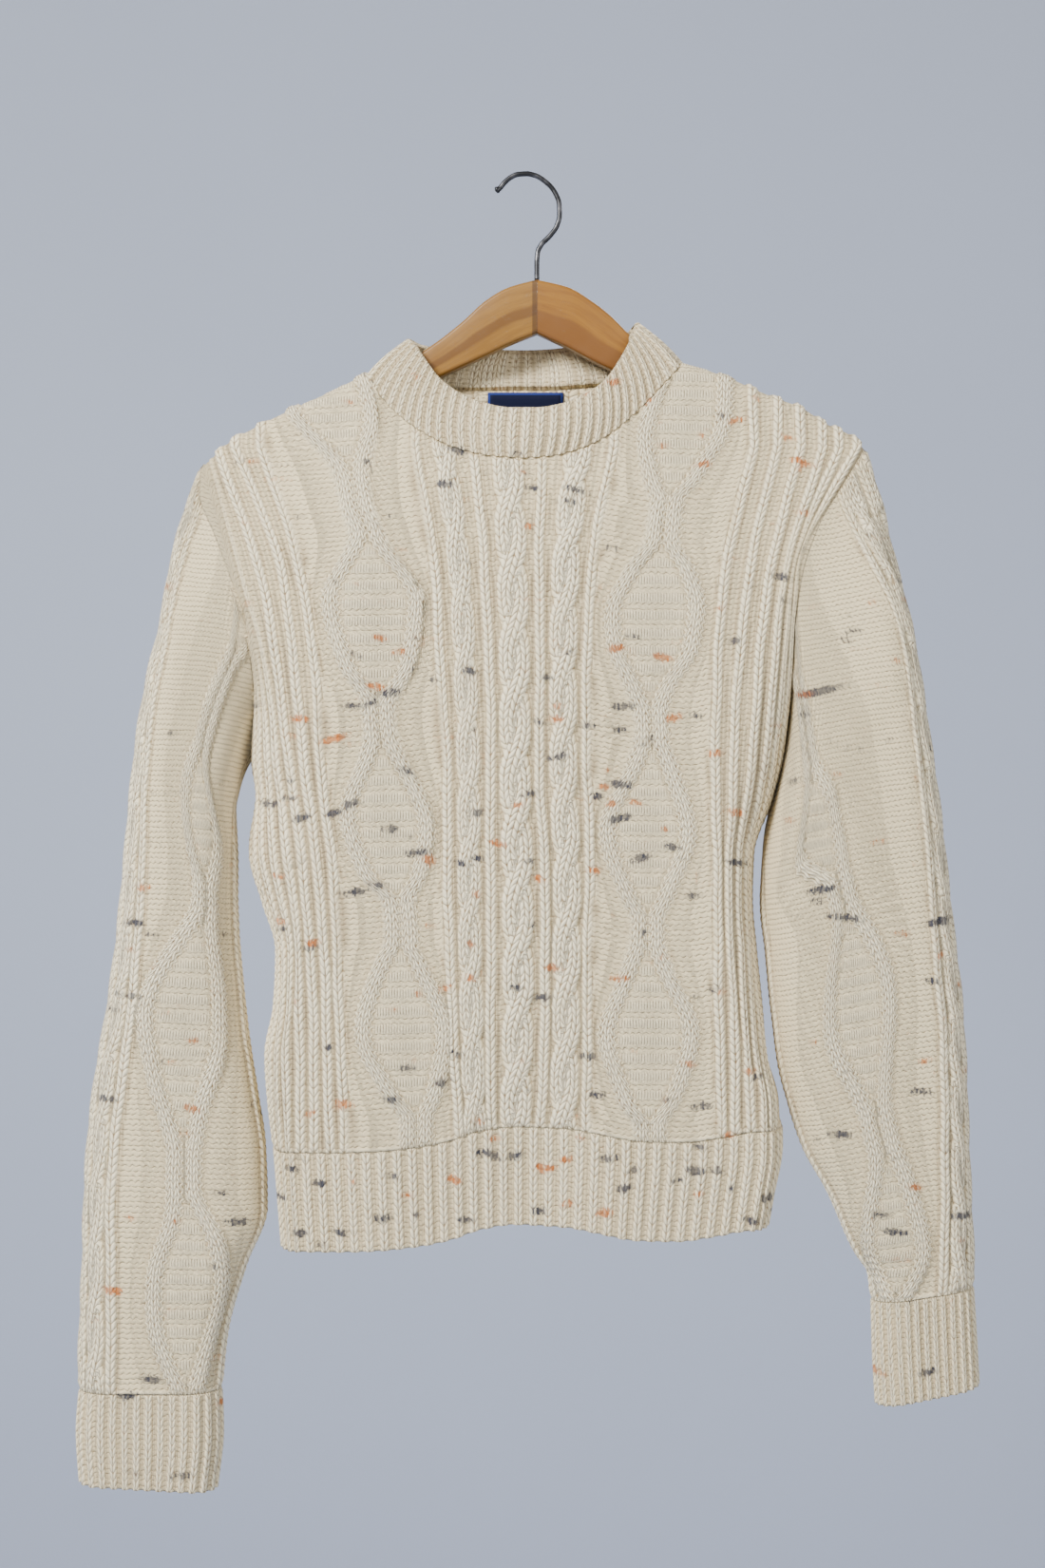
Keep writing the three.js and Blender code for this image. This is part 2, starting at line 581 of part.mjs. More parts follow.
// A grid of base points, made into a closed wall: raised outer points over a plain inner side
function wall(name, grid, material) {
  const { at, columns, rows, raise, round, thick } = grid;
  const points = [];
  const faces = [];
  const reach = { u: 1 / columns / 2, v: 1 / rows / 2 };
  const outward = (u, v) => {
    const du = round ? [u - reach.u, u + reach.u] : [Math.max(0, u - reach.u), Math.min(1, u + reach.u)];
    const dv = [Math.max(0, v - reach.v), Math.min(1, v + reach.v)];
    const across = at(du[1], v).sub(at(du[0], v));
    const down = at(u, dv[1]).sub(at(u, dv[0]));
    return down.cross(across).normalize();
  };
  const layer = (nu, nv, place) => {
    const start = points.length;
    const wide = round ? nu : nu + 1;
    for (let j = 0; j <= nv; j += 1) {
      for (let i = 0; i < wide; i += 1) points.push(place(i, j));
    }
    return (i, j) => start + j * wide + (round ? (i + nu) % nu : i);
  };
  const outer = layer(columns, rows, (i, j) => {
    const u = i / columns;
    const v = j / rows;
    return at(u, v).addScaledVector(outward(u, v), raise(i, j));
  });
  const nu = grid.innerColumns ?? INNER_SIDE;
  const nv = grid.innerRows ?? INNER_DOWN;
  const inset = grid.inset ?? { top: 0, bottom: 0, side: 0 };
  const inner = layer(nu, nv, (i, j) => {
    const u = round ? i / nu : blend(inset.side, 1 - inset.side, i / nu);
    const v = blend(inset.top, 1 - inset.bottom, j / nv);
    return at(u, v).addScaledVector(outward(u, v), -thick);
  });
  const sheet = (index, n, m, flip) => {
    for (let j = 0; j < m; j += 1) {
      for (let i = 0; i < n; i += 1) {
        const [a, b, c, d] = [index(i, j), index(i + 1, j), index(i + 1, j + 1), index(i, j + 1)];
        if (flip) faces.push([a, b, c], [a, c, d]);
        else faces.push([a, c, b], [a, d, c]);
      }
    }
  };
  sheet(outer, columns, rows, false);
  sheet(inner, nu, nv, true);
  const rim = (outerLine, innerLine) => {
    let i = 0;
    let k = 0;
    const n = outerLine.length - 1;
    const m = innerLine.length - 1;
    while (i < n || k < m) {
      if (k === m || (i < n && (i + 1) / n <= (k + 1) / m)) {
        faces.push([outerLine[i + 1], outerLine[i], innerLine[k]]);
        i += 1;
      } else {
        faces.push([innerLine[k], innerLine[k + 1], outerLine[i]]);
        k += 1;
      }
    }
  };
  const line = (index, n, place) => Array.from({ length: n + 1 }, (_, i) => index(...place(i)));
  rim(line(outer, columns, (i) => [columns - i, 0]), line(inner, nu, (i) => [nu - i, 0]));
  rim(line(outer, columns, (i) => [i, rows]), line(inner, nu, (i) => [i, nv]));
  if (!round) {
    rim(line(outer, rows, (j) => [0, j]), line(inner, nv, (j) => [0, j]));
    rim(line(outer, rows, (j) => [columns, rows - j]), line(inner, nv, (j) => [nu, nv - j]));
  }
  return meshOf(name, points, faces, material);
}

function meshOf(name, points, faces, material) {
  const geometry = new THREE.BufferGeometry();
  const numbers = points.flatMap((p) => p.toArray());
  geometry.setAttribute("position", new THREE.Float32BufferAttribute(numbers, 3));
  geometry.setIndex(faces.flat());
  geometry.computeVertexNormals();
  const mesh = new THREE.Mesh(geometry, material);
  mesh.name = name;
  return mesh;
}

// The rows of a panel stand closer at its top, where the cloth bends over the hanger
function rowShare(v) {
  return blend(v, v * v, TOP_CLOSENESS);
}

function panelGrid(back) {
  const columns = panelColumns();
  const last = columns.length - 1;
  const tops = columns.map((c) => topOf(c.lineAt, back));
  const place = (i, v) => {
    const line = columns[i].lineAt;
    const foot = hemTop(withinHem(line(PANEL_FOOT))) + SEAM_GAP;
    const z = blend(tops[i], foot, rowShare(v));
    return { across: line(z), z };
  };
  const at = (u, v) => {
    const i = Math.min(last - 1, Math.floor(u * last + 1e-9));
    const share = u * last - i;
    const a = place(i, v);
    const b = place(i + 1, v);
    return bodyPoint(blend(a.across, b.across, share), blend(a.z, b.z, share), back);
  };
  const raise = (i, j) => {
    if (i === 0 || i === last || j === 0) return 0;
    const v = j / PANEL_ROWS;
    const room = place(i + 1, v).across - place(i - 1, v).across;
    const near = j === 1 || j === PANEL_ROWS ? NEAR_SEAM : 1;
    return near * raised(columns[i], j) * Math.min(1, room / 2 / FULL_SPACING);
  };
  return { at, raise, columns: last, rows: PANEL_ROWS, round: false, thick: WALL };
}

// A panel as seen from behind runs the other way across, so its outside stays outside
function turned(grid) {
  return {
    ...grid,
    at: (u, v) => grid.at(1 - u, v),
    raise: (i, j) => grid.raise(grid.columns - i, j),
  };
}

function panel(name, back, material) {
  const grid = { ...panelGrid(back), inset: { top: 0.012, bottom: 0, side: 0.004 }, innerColumns: 20 };
  return wall(name, back ? turned(grid) : grid, material);
}

function hem(name, back, material) {
  const columns = HEM_RIBS * 2;
  const at = (u, v) => {
    const left = -bodySide(HEM_HEIGHT, "left").end;
    const right = bodySide(HEM_HEIGHT, "right").end;
    const across = blend(left, right, u);
    const x = withinHem(across);
    const z = blend(hemTop(x) - SEAM_GAP, hemTop(x) - HEM_RIB, v);
    const side = bodySide(z, across < 0 ? "left" : "right").end;
    const full = across < 0 ? -left : right;
    return bodyPoint((across / full) * side, z, back);
  };
  const raise = (i) => (i % 2 && i > 1 && i < columns - 1 ? EDGE_RIB_HEIGHT : 0);
  const grid = { at, raise, columns, rows: 2, round: false, thick: WALL, innerRows: 2, innerColumns: 20 };
  return wall(name, back ? turned(grid) : grid, material);
}

// The armhole edge of a panel, from the shoulder to the underarm
function armholePoint(side, share, back) {
  const sleeve = side === "left" ? LEFT_SLEEVE : RIGHT_SLEEVE;
  const z = blend(sleeve[0].outerZ, UNDERARM[side], share);
  const across = bodySide(z, side).end;
  return bodyPoint(side === "left" ? -across : across, z, back);
}

// A section of a sleeve or cuff at a place round it, from its outer edge over the front
function sectionPoint(table, round, down) {
  const rows = table.map((row, i) => ({ ...row, share: i / (table.length - 1) }));
  const value = (column) => read(rows, "share", column, down);
  const outer = new THREE.Vector3(value("outerX"), value("y"), value("outerZ"));
  const inner = new THREE.Vector3(value("innerX"), value("y"), value("innerZ"));
  const half = outer.distanceTo(inner) / 2;
  const radius = Math.min(value("roll"), half);
  const depth = value("depth");
  const total = half - radius + quarterOf(radius, depth);
  const back = round > 0.5;
  const place = (back ? 3 - 4 * round : 4 * round - 1) * total;
  const { along, share } = rolled(Math.abs(place), half - radius, radius, depth, Math.PI / 2);
  const direction = inner.clone().sub(outer).normalize();
  const point = outer.clone().add(inner).multiplyScalar(0.5);
  point.addScaledVector(direction, Math.sign(place) * along);
  point.y += (back ? 1 : -1) * depth * share;
  return point;
}

// The sleeve starts on the armhole and takes its own sections over the first third
function sleevePoint(side, round, down) {
  const table = side === "left" ? LEFT_SLEEVE : RIGHT_SLEEVE;
  const point = sectionPoint(table, round, down);
  const hold = Math.max(0, 1 - down / ARMHOLE_HOLD);
  if (hold === 0) return point;
  const back = round > 0.5;
  const share = back ? 2 - 2 * round : 2 * round;
  const seam = armholePoint(side, share, back);
  const away = side === "left" ? -1 : 1;
  seam.x += away * (ARMHOLE_GAP + UNDERARM_CLEARANCE * share ** 4);
  const start = sectionPoint(table, round, 0);
  return point.addScaledVector(seam.sub(start), hold * hold * (3 - 2 * hold));
}

// Columns over half of a sleeve, from the fold at its outer edge to the underarm
function sleeveColumns(side) {
  const table = SLEEVE_DIAMONDS[side];
  const middle = (v) => read(table, "down", "middle", v);
  const spread = (v) => read(table, "down", "spread", v) / SLEEVE_HALF;
  const travel = TRAVEL_HALF / SLEEVE_HALF;
  const inner = (v) => Math.min(travel, spread(v) * STRAND_PLACE);
  const fixed = (place) => () => place;
  return [
    { lineAt: fixed(0), height: 0, kind: "flat" },
    { lineAt: fixed(0.045), height: RIB_HEIGHT, kind: "rib" },
    { lineAt: fixed(0.09), height: 0, kind: "flat" },
    { lineAt: fixed(0.135), height: CABLE_HEIGHT, kind: "ropeLeft" },
    { lineAt: fixed(0.17), height: CABLE_HEIGHT, kind: "ropeMiddle" },
    { lineAt: fixed(0.205), height: CABLE_HEIGHT, kind: "ropeRight" },
    { lineAt: fixed(0.25), height: 0, kind: "flat" },
    { lineAt: (v) => middle(v) - spread(v) - travel, height: 0, kind: "flat" },
    { lineAt: (v) => middle(v) - spread(v), height: TRAVEL_HEIGHT, kind: "travel" },
    { lineAt: (v) => middle(v) - spread(v) + inner(v), height: STRAND_DIP, kind: "flat" },
    { lineAt: (v) => middle(v) + spread(v) - inner(v), height: STRAND_DIP, kind: "flat" },
    { lineAt: (v) => middle(v) + spread(v), height: TRAVEL_HEIGHT, kind: "travel" },
    { lineAt: (v) => middle(v) + spread(v) + travel, height: 0, kind: "flat" },
    { lineAt: fixed(0.91), height: 0, kind: "flat" },
    { lineAt: fixed(0.95), height: RIB_HEIGHT, kind: "rib" },
  ];
}

function sleeve(name, side, material) {
  const half = sleeveColumns(side);
  const count = half.length * 2;
  const placeOf = (i, v) => {
    const k = ((i % count) + count) % count;
    if (k < half.length) return half[k].lineAt(v) / 2;
    if (k === half.length) return 0.5;
    return 1 - half[count - k].lineAt(v) / 2;
  };
  const columnOf = (i) => (i < half.length ? half[i] : half[(count - i) % half.length]);
  const at = (u, v) => {
    const w = (((u % 1) + 1) % 1) * count;
    const i = Math.floor(w + 1e-9);
    const next = i + 1 >= count ? 1 : placeOf(i + 1, v);
    const round = blend(placeOf(i, v), next, w - i);
    return sleevePoint(side, Math.min(1, round), v);
  };
  const raise = (i, j) => {
    if (j === 0 || i === half.length) return 0;
    const nearArmpit = Math.abs(i / count - 0.5) < ARMPIT.reach && j < ARMPIT.rows;
    return nearArmpit ? 0 : raised(columnOf(i), j) * (j === 1 ? NEAR_SEAM : 1);
  };
  const grid = { at, raise, columns: count, rows: SLEEVE_ROWS, round: true, thick: WALL };
  const settled = { ...grid, inset: { top: 0.014, bottom: 0, side: 0 }, innerColumns: 18 };
  return wall(name, side === "right" ? turned(settled) : settled, material);
}

function cuff(name, side, material) {
  const table = side === "left" ? LEFT_CUFF : RIGHT_CUFF;
  const columns = CUFF_RIBS * 2;
  const start = CUFF_GAP / CUFF_LENGTH;
  const at = (u, v) => sectionPoint(table, ((u % 1) + 1) % 1, blend(start, 1, v));
  const raise = (i) => (i % 2 ? EDGE_RIB_HEIGHT : 0);
  const grid = { at, raise, columns, rows: 3, round: true, thick: WALL, innerRows: 3, innerColumns: 18 };
  return wall(name, side === "right" ? turned(grid) : grid, material);
}

// The neckline all round, from the left neck point over the front and back behind
function necklinePoint(round) {
  const back = round > NECK.frontShare;
  const share = back ? (1 - round) / (1 - NECK.frontShare) : round / NECK.frontShare;
  const table = back ? BACK_NECK : FRONT_NECK;
  const rows = lengthShares(table);
  const x = read(rows, "share", "x", share);
  const z = read(rows, "share", "z", share);
  return bodyPoint(x, z, back);
}

function lengthShares(table) {
  let length = 0;
  const rows = table.map((row, i) => {
    const before = table[Math.max(0, i - 1)];
    length += Math.hypot(row.x - before.x, row.z - before.z, (row.y ?? 0) - (before.y ?? 0));
    return { ...row, share: length };
  });
  return rows.map((row) => ({ ...row, share: row.share / length }));
}

function neckband(name, material) {
  const front = lengthShares(BAND_EDGE.slice(0, BAND_RIGHT_ROW + 1));
  const back = lengthShares([...BAND_EDGE.slice(BAND_RIGHT_ROW), BAND_EDGE[0]]);
  const edgePoint = (round) => {
    const behind = round > NECK.frontShare;
    const rows = behind ? back : front;
    const past = (round - NECK.frontShare) / (1 - NECK.frontShare);
    const share = behind ? past : round / NECK.frontShare;
    const [x, y, z] = ["x", "y", "z"].map((axis) => read(rows, "share", axis, share));
    return new THREE.Vector3(x, y, z);
  };
  const columns = BAND_RIBS * 2;
  const at = (u, v) => {
    const round = ((u % 1) + 1) % 1;
    const seam = necklinePoint(round);
    const edge = edgePoint(round);
    const middle = new THREE.Vector3(NECK.middle, 0, seam.z);
    const outward = seam.clone().sub(middle).normalize();
    const up = edge.clone().sub(seam);
    const point = seam.addScaledVector(up, blend(BAND_START, 1, 1 - v));
    return point.addScaledVector(outward, BAND_BULGE * Math.sin(Math.PI * v));
  };
  const raise = (i, j) => (i % 2 ? BAND_RIB_HEIGHT * (j === 3 ? 0.4 : 1) : 0);
  const grid = { at, raise, columns, rows: 3, round: true, thick: BAND_WALL, innerRows: 3 };
  return wall(name, { ...grid, innerColumns: 40 }, material);
}

function neckLabel(name, material) {
  const inside = WALL + SEAM_GAP;
  const at = (u, v) => {
    const point = bodyPoint(blend(LABEL.right, LABEL.left, u), blend(LABEL.top, LABEL.bottom, v), true);
    point.y -= inside;
    return point;
  };
  const grid = { at, raise: () => 0, columns: 6, rows: 3, round: false, thick: LABEL.thick };
  return wall(name, { ...grid, innerColumns: 6, innerRows: 3 }, material);
}

// One arm of the hanger: an eight-sided section carried along its top and bottom lines
function hangerArm(name, table, material) {
  const half = ARM_THICK / 2;
  const corner = half - ARM_ROUND;
  const points = [];
  for (const { x, top, bottom } of table) {
    const round = Math.min(ARM_ROUND, (top - bottom) / 3);
    const section = [
      [-corner, top],
      [corner, top],
      [half, top - round],
      [half, bottom + round],
      [corner, bottom],
      [-corner, bottom],
      [-half, bottom + round],
      [-half, top - round],
    ];
    points.push(...section.map(([y, z]) => new THREE.Vector3(x, y, z)));
  }
  const faces = [];
  const sides = 8;
  for (let k = 0; k < table.length - 1; k += 1) {
    for (let i = 0; i < sides; i += 1) {
      const [a, b] = [k * sides + i, k * sides + ((i + 1) % sides)];
      faces.push([a, b, b + sides], [a, b + sides, a + sides]);
    }
  }
  const end = (table.length - 1) * sides;
  for (let i = 1; i < sides - 1; i += 1) faces.push([0, i + 1, i], [end, end + i, end + i + 1]);
  const right = table[1].x > table[0].x;
  return meshOf(name, points, right ? faces.map(([a, b, c]) => [a, c, b]) : faces, material);
}

function solidOf(geometry) {
  const triangles = [];
  const position = geometry.attributes.position;
  const index = geometry.index;
  const count = index ? index.count : position.count;
  const known = new Map();
  const vertices = [];
  for (let i = 0; i < count; i += 1) {
    const k = index ? index.getX(i) : i;
    const corner = [position.getX(k), position.getY(k), position.getZ(k)];
    const point = corner.map((n) => Math.round(n * 1e4) / 1e4);
    const key = point.join(",");
    if (!known.has(key)) {
      known.set(key, vertices.length / 3);
      vertices.push(...point);
    }
    triangles.push(known.get(key));
  }
  const kept = [];
  for (let i = 0; i < triangles.length; i += 3) {
    const [a, b, c] = triangles.slice(i, i + 3);
    if (a !== b && b !== c && a !== c) kept.push(a, b, c);
  }
  const vertProperties = Float32Array.from(vertices);
  const triVerts = Uint32Array.from(kept);
  return new wasm.Manifold(new wasm.Mesh({ numProp: 3, vertProperties, triVerts }));
}

function hangerHook(name, material) {
  const path = new THREE.CatmullRomCurve3(HOOK.map(({ x, z }) => new THREE.Vector3(x, 0, z)));
  const circle = new THREE.Shape();
  circle.absarc(0, 0, WIRE_RADIUS, 0, Math.PI * 2);
  const options = { steps: 40, curveSegments: 5, bevelEnabled: false, extrudePath: path };
  const wire = solidOf(new THREE.ExtrudeGeometry(circle, options));
  const ball = new THREE.SphereGeometry(TIP_RADIUS, 12, 8);
  ball.translate(HOOK[0].x, 0, HOOK[0].z);
  const joined = wire.add(solidOf(ball)).getMesh();
  const points = [];
  for (let i = 0; i < joined.vertProperties.length; i += joined.numProp) {
    points.push(new THREE.Vector3(...joined.vertProperties.slice(i, i + 3)));
  }
  const faces = [];
  for (let i = 0; i < joined.triVerts.length; i += 3) faces.push([...joined.triVerts.slice(i, i + 3)]);
  return meshOf(name, points, faces, material);
}

function material(color, roughness, metalness = 0) {
  return new THREE.MeshStandardMaterial({ color, roughness, metalness });
}

const wool = material(0xded2ba, 0.95);
const ribWool = material(0xd8cbb1, 0.95);
const labelBlue = material(0x24356b, 0.8);
const paleWood = material(0xc9914f, 0.45);
const darkWood = material(0xb87b3e, 0.45);
const steel = material(0x8b8d90, 0.35, 0.9);

const part = new THREE.Group();
part.name = "cable_knit_sweater_on_hanger";
part.add(panel("front_panel", false, wool));
part.add(panel("back_panel", true, wool));
part.add(sleeve("sleeve_left", "left", wool));
part.add(sleeve("sleeve_right", "right", wool));
part.add(cuff("cuff_left", "left", ribWool));
part.add(cuff("cuff_right", "right", ribWool));
part.add(hem("hem_front", false, ribWool));
part.add(hem("hem_back", true, ribWool));
part.add(neckband("neckband", ribWool));
part.add(neckLabel("neck_label", labelBlue));
part.add(hangerArm("hanger_arm_left", ARM_LEFT, paleWood));
part.add(hangerArm("hanger_arm_right", ARM_RIGHT, darkWood));
part.add(hangerHook("hanger_hook", steel));

export default part;
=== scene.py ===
import math

import bpy
import numpy as np
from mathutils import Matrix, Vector


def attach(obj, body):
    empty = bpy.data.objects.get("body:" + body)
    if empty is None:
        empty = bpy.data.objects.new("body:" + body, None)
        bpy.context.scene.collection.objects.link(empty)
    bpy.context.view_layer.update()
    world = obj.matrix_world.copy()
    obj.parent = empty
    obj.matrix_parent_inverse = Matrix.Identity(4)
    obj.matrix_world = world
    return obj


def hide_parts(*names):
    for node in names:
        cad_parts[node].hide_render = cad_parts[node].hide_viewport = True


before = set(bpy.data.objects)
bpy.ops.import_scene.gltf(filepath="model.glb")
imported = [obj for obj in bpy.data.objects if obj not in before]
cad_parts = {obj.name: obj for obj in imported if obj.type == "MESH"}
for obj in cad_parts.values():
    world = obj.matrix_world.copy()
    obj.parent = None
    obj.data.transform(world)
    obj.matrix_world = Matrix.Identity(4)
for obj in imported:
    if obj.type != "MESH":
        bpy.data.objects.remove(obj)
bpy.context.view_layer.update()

# Everything below is in millimetres until a mesh is made.
# A join gap below zero lets the two pieces overlap a little, so that no light shows between them.
MM = 0.001
WALL = 3.6
BAND_WALL = 4.6
SEAM_GAP = 0.4
JOIN_GAP = -0.3
CUFF_GAP = -0.4
ARMHOLE_GAP = 0.15
UNDERARM_CLEARANCE = 0.6
RIB_HALF = 3.7
TRAVEL_HALF = 6.6
FRONT_DEPTH = 40
BACK_DEPTH = 38
HEM_RIB = 68
ROPE_HALVES = (8.0, 10.5, 9.5)
CABLE_SIDE = 4.6

# The knit: one row, one purl stitch, the ladder's step, its bars, the rope's crossing, one purl
# row and one dyed strand
ROW = 5.4
PURL_STITCH = 4.6
LADDER_STEP = 12.0
BAR_STEP = 1.9
ROPE_STEP = 43.0
FINE_ROW = 3.5
STRAND = 1.5

# The plain inner side of a wall has one point for this many of the outer side's
INNER_STEP = 5

# Share of the body's depth reached at each drop below the shoulder line
RISE = {
    "drop": [-30, 0, 2, 6, 14, 50, 100, 160, 230, 460, 640],
    "share": [0, 0, 0.22, 0.31, 0.36, 0.52, 0.78, 0.94, 1, 1, 0.86],
}

# Body at each height: edges of the panels, and the radius and angle that they turn there
BODY = {
    "z": [
        -745, -705, -670, -640, -606, -574, -536, -502, -470, -430, -404, -360, -315, -280, -250,
        -221, -190, -150,
    ],
    "left": [
        -174, -177, -180, -184, -187, -180, -178, -188, -197, -192, -195, -193, -197, -208, -220,
        -231, -230, -240,
    ],
    "left_roll": [14, 14, 15, 15, 16, 17, 20, 34, 44, 45, 45, 44, 42, 40, 36, 32, 30, 30],
    "left_turn": [90, 90, 90, 90, 90, 90, 90, 90, 90, 90, 90, 60, 31, 17, 9, 4, 0, 0],
    "right": [157, 164, 170, 169, 160, 156, 152, 149, 150, 164, 171, 176, 177, 182, 192, 208, 227, 240],
    "right_roll": [14, 14, 15, 15, 18, 22, 24, 24, 26, 33, 34, 34, 34, 32, 30, 28, 25, 25],
    "right_turn": [90, 90, 90, 90, 90, 90, 90, 90, 90, 90, 78, 55, 34, 22, 12, 5, 0, 0],
}
UNDERARM = {"left": -404, "right": -430}

SHOULDER = {
    "x": [-245, -228, -212, -193, -166, -140, -116, -60, 0, 50, 102, 133, 164, 185, 202, 219, 229, 245],
    "z": [
        -212, -199, -184, -173, -160, -149, -137, -121, -115, -117, -130, -139, -152, -160, -171,
        -179, -190, -206,
    ],
}
NECK = (-116, 102)
FRONT_NECK = {
    "x": [-116, -110, -102, -88, -71, -51, -30, -8, 12, 32, 48, 61, 75, 88, 97, 102],
    "z": [
        -137, -149, -160, -173, -184, -193, -197.5, -199, -197.5, -192, -184, -174, -161, -147,
        -137, -130,
    ],
}
BACK_NECK = {"x": [-116, -90, -50, 0, 45, 80, 102], "z": [-137, -142, -145, -145, -142, -136, -130]}

HEM = {
    "x": [-200, -140, -109, -77, -57, -38, -14, 21, 46, 69, 100, 124, 148, 200],
    "z": [-739, -739, -738, -735, -731, -725, -722, -723, -727, -731, -732, -729, -725, -724],
}

# Slack folds of the body: place, reach and size
FOLDS = [
    {"x": -120, "z": -330, "half": 26, "reach": 120, "out": 3},
    {"x": -20, "z": -470, "half": 40, "reach": 160, "out": 3.5},
    {"x": 112, "z": -360, "half": 24, "reach": 110, "out": 3},
    {"x": -14, "z": -720, "half": 30, "reach": 90, "out": -6},
    {"x": 66, "z": -690, "half": 32, "reach": 110, "out": 4},
    {"x": -110, "z": -700, "half": 36, "reach": 120, "out": 4},
    {"x": 118, "z": -560, "half": 26, "reach": 130, "out": 3},
]

# Places of the ribs across the panel at seven heights
RIBS = {
    "z": [-660, -560, -480, -410, -340, -280, -190],
    "left8": [-199, -196, -207, -214, -196, -207.3, -233.2],
    "left7": [-189, -187, -197, -204, -194, -206.2, -232.2],
    "left6": [-179, -178, -187, -194, -192, -205, -231],
    "left5": [-169, -169, -177, -184, -189, -203.4, -229.6],
    "left4": [-159, -160, -167, -175, -184, -199, -227],
    "left3": [-149, -151, -157, -166, -175, -187, -219],
    "left2": [-139, -142, -147, -156, -163, -172, -206],
    "left1": [-129, -133, -137, -145, -150, -159, -189],
    "centre1": [-51, -57, -59, -60, -64, -68, -82],
    "centre2": [-30, -30, -30, -30, -31, -34, -43],
    "centre3": [3, 7, 6, 3, 3, 3, 5],
    "centre4": [35, 35, 37, 35, 35, 38, 54],
    "right1": [126, 124, 123, 122, 123, 129, 150],
    "right2": [136, 134, 133, 134, 138, 145, 167],
    "right3": [146, 144, 143, 147, 152, 159, 183],
    "right4": [156, 154, 153, 159, 163, 170, 198],
    "right5": [165, 163, 162, 168, 171, 176, 209],
    "right6": [174, 171, 170, 177, 177, 179, 222],
}

# Diamond columns: the middle of the two travelling cables and half the way between them
LEFT_DIAMONDS = {
    "z": [
        -680, -653, -627, -591, -540, -527, -505, -483, -447, -398, -383, -367, -341, -297, -252,
        -234, -205, -163, -133,
    ],
    "middle": [
        -80, -80, -84, -89, -91, -91, -92, -96, -100, -104, -105, -106, -107, -110, -114, -121,
        -126, -140, -146,
    ],
    "spread": [5, 5, 17, 27, 11, 4, 4, 18, 26, 8, 4, 6, 21, 29, 6, 4, 8, 27, 24],
}
RIGHT_DIAMONDS = {
    "z": [
        -680, -656, -636, -591, -547, -519, -496, -454, -408, -383, -358, -328, -305, -278, -254,
        -234, -213, -178, -133,
    ],
    "middle": [78, 78, 77, 77, 76, 76, 76, 76, 79, 79, 78, 80, 81, 84, 87, 89, 94, 102, 112],
    "spread": [4, 4, 16, 28, 12, 4, 14, 27, 11, 4, 11, 26, 28, 19, 5, 4, 15, 26, 20],
}

# Sleeves, an entry for each section from the armhole to the cuff
LEFT_SLEEVE = {
    "outer_x": [
        -228, -236, -244, -251, -257, -265, -272, -277, -281, -286, -293, -302, -307, -309, -310,
        -312, -313,
    ],
    "outer_z": [
        -199, -222, -248, -277, -310, -343, -382, -425, -471, -524, -576, -629, -675, -714, -754,
        -800, -838,
    ],
    "inner_x": [
        -197, -201, -204, -206, -208, -208, -208, -208, -207, -204, -200, -194, -188, -187, -201,
        -214, -218,
    ],
    "inner_z": [
        -404, -411, -420, -430, -442, -457, -474, -496, -522, -556, -593, -632, -675, -714, -754,
        -800, -838,
    ],
    "depth": [33, 33, 33, 33, 33, 33, 32, 32, 31, 30, 28, 26, 25, 25, 24, 21, 19],
    "y": [-2, -2, -3, -4, -5, -6, -7, -8, -9, -10, -10, -10, -10, -10, -10, -10, -10],
    "roll": [50, 48, 44, 40, 38, 36, 34, 33, 32, 32, 32, 32, 32, 32, 30, 26, 22],
}
RIGHT_SLEEVE = {
    "outer_x": [229, 235, 240, 245, 251, 258, 264, 270, 276, 281, 286, 291, 294, 296, 298, 300, 301],
    "outer_z": [
        -190, -211, -234, -258, -284, -315, -350, -392, -435, -479, -524, -566, -609, -655, -701,
        -741, -767,
    ],
    "inner_x": [166, 163, 160, 158, 157, 157, 158, 160, 162, 165, 169, 176, 186, 204, 221, 232, 234],
    "inner_z": [
        -430, -443, -455, -468, -483, -497, -512, -530, -553, -581, -612, -641, -671, -704, -742,
        -760, -777,
    ],
    "depth": [33, 33, 33, 33, 33, 33, 32, 32, 31, 30, 29, 28, 26, 25, 23, 21, 19],
    "y": [-2, -3, -5, -7, -9, -11, -12, -13, -14, -14, -14, -14, -14, -13, -12, -11, -10],
    "roll": [50, 48, 46, 44, 42, 40, 38, 36, 34, 33, 32, 31, 30, 29, 28, 24, 21],
}
LEFT_CUFF = {
    "outer_x": [-313, -315, -313],
    "outer_z": [-838, -868, -902],
    "inner_x": [-218, -217, -221],
    "inner_z": [-838, -868, -907],
    "depth": [19, 18, 16],
    "y": [-10, -10, -10],
    "roll": [20, 18, 16],
}
RIGHT_CUFF = {
    "outer_x": [301, 303, 305],
    "outer_z": [-767, -800, -835],
    "inner_x": [234, 235, 237],
    "inner_z": [-777, -812, -849],
    "depth": [19, 18, 17],
    "y": [-10, -10, -10],
    "roll": [20, 18, 17],
}

# Sleeve diamonds: share of the way down, share across from the outer edge, half width
SLEEVE_DIAMONDS = {
    "left": {
        "down": [0, 0.1, 0.24, 0.37, 0.48, 0.62, 0.77, 0.89, 1],
        "middle": [0.55, 0.58, 0.6, 0.66, 0.7, 0.56, 0.56, 0.66, 0.74],
        "spread": [18, 5, 5, 19, 5, 25, 5, 23, 5],
    },
    "right": {
        "down": [0, 0.12, 0.22, 0.35, 0.48, 0.62, 0.77, 0.88, 1],
        "middle": [0.56, 0.6, 0.64, 0.66, 0.58, 0.56, 0.57, 0.66, 0.74],
        "spread": [20, 5, 5, 22, 5, 25, 5, 20, 5],
    },
}

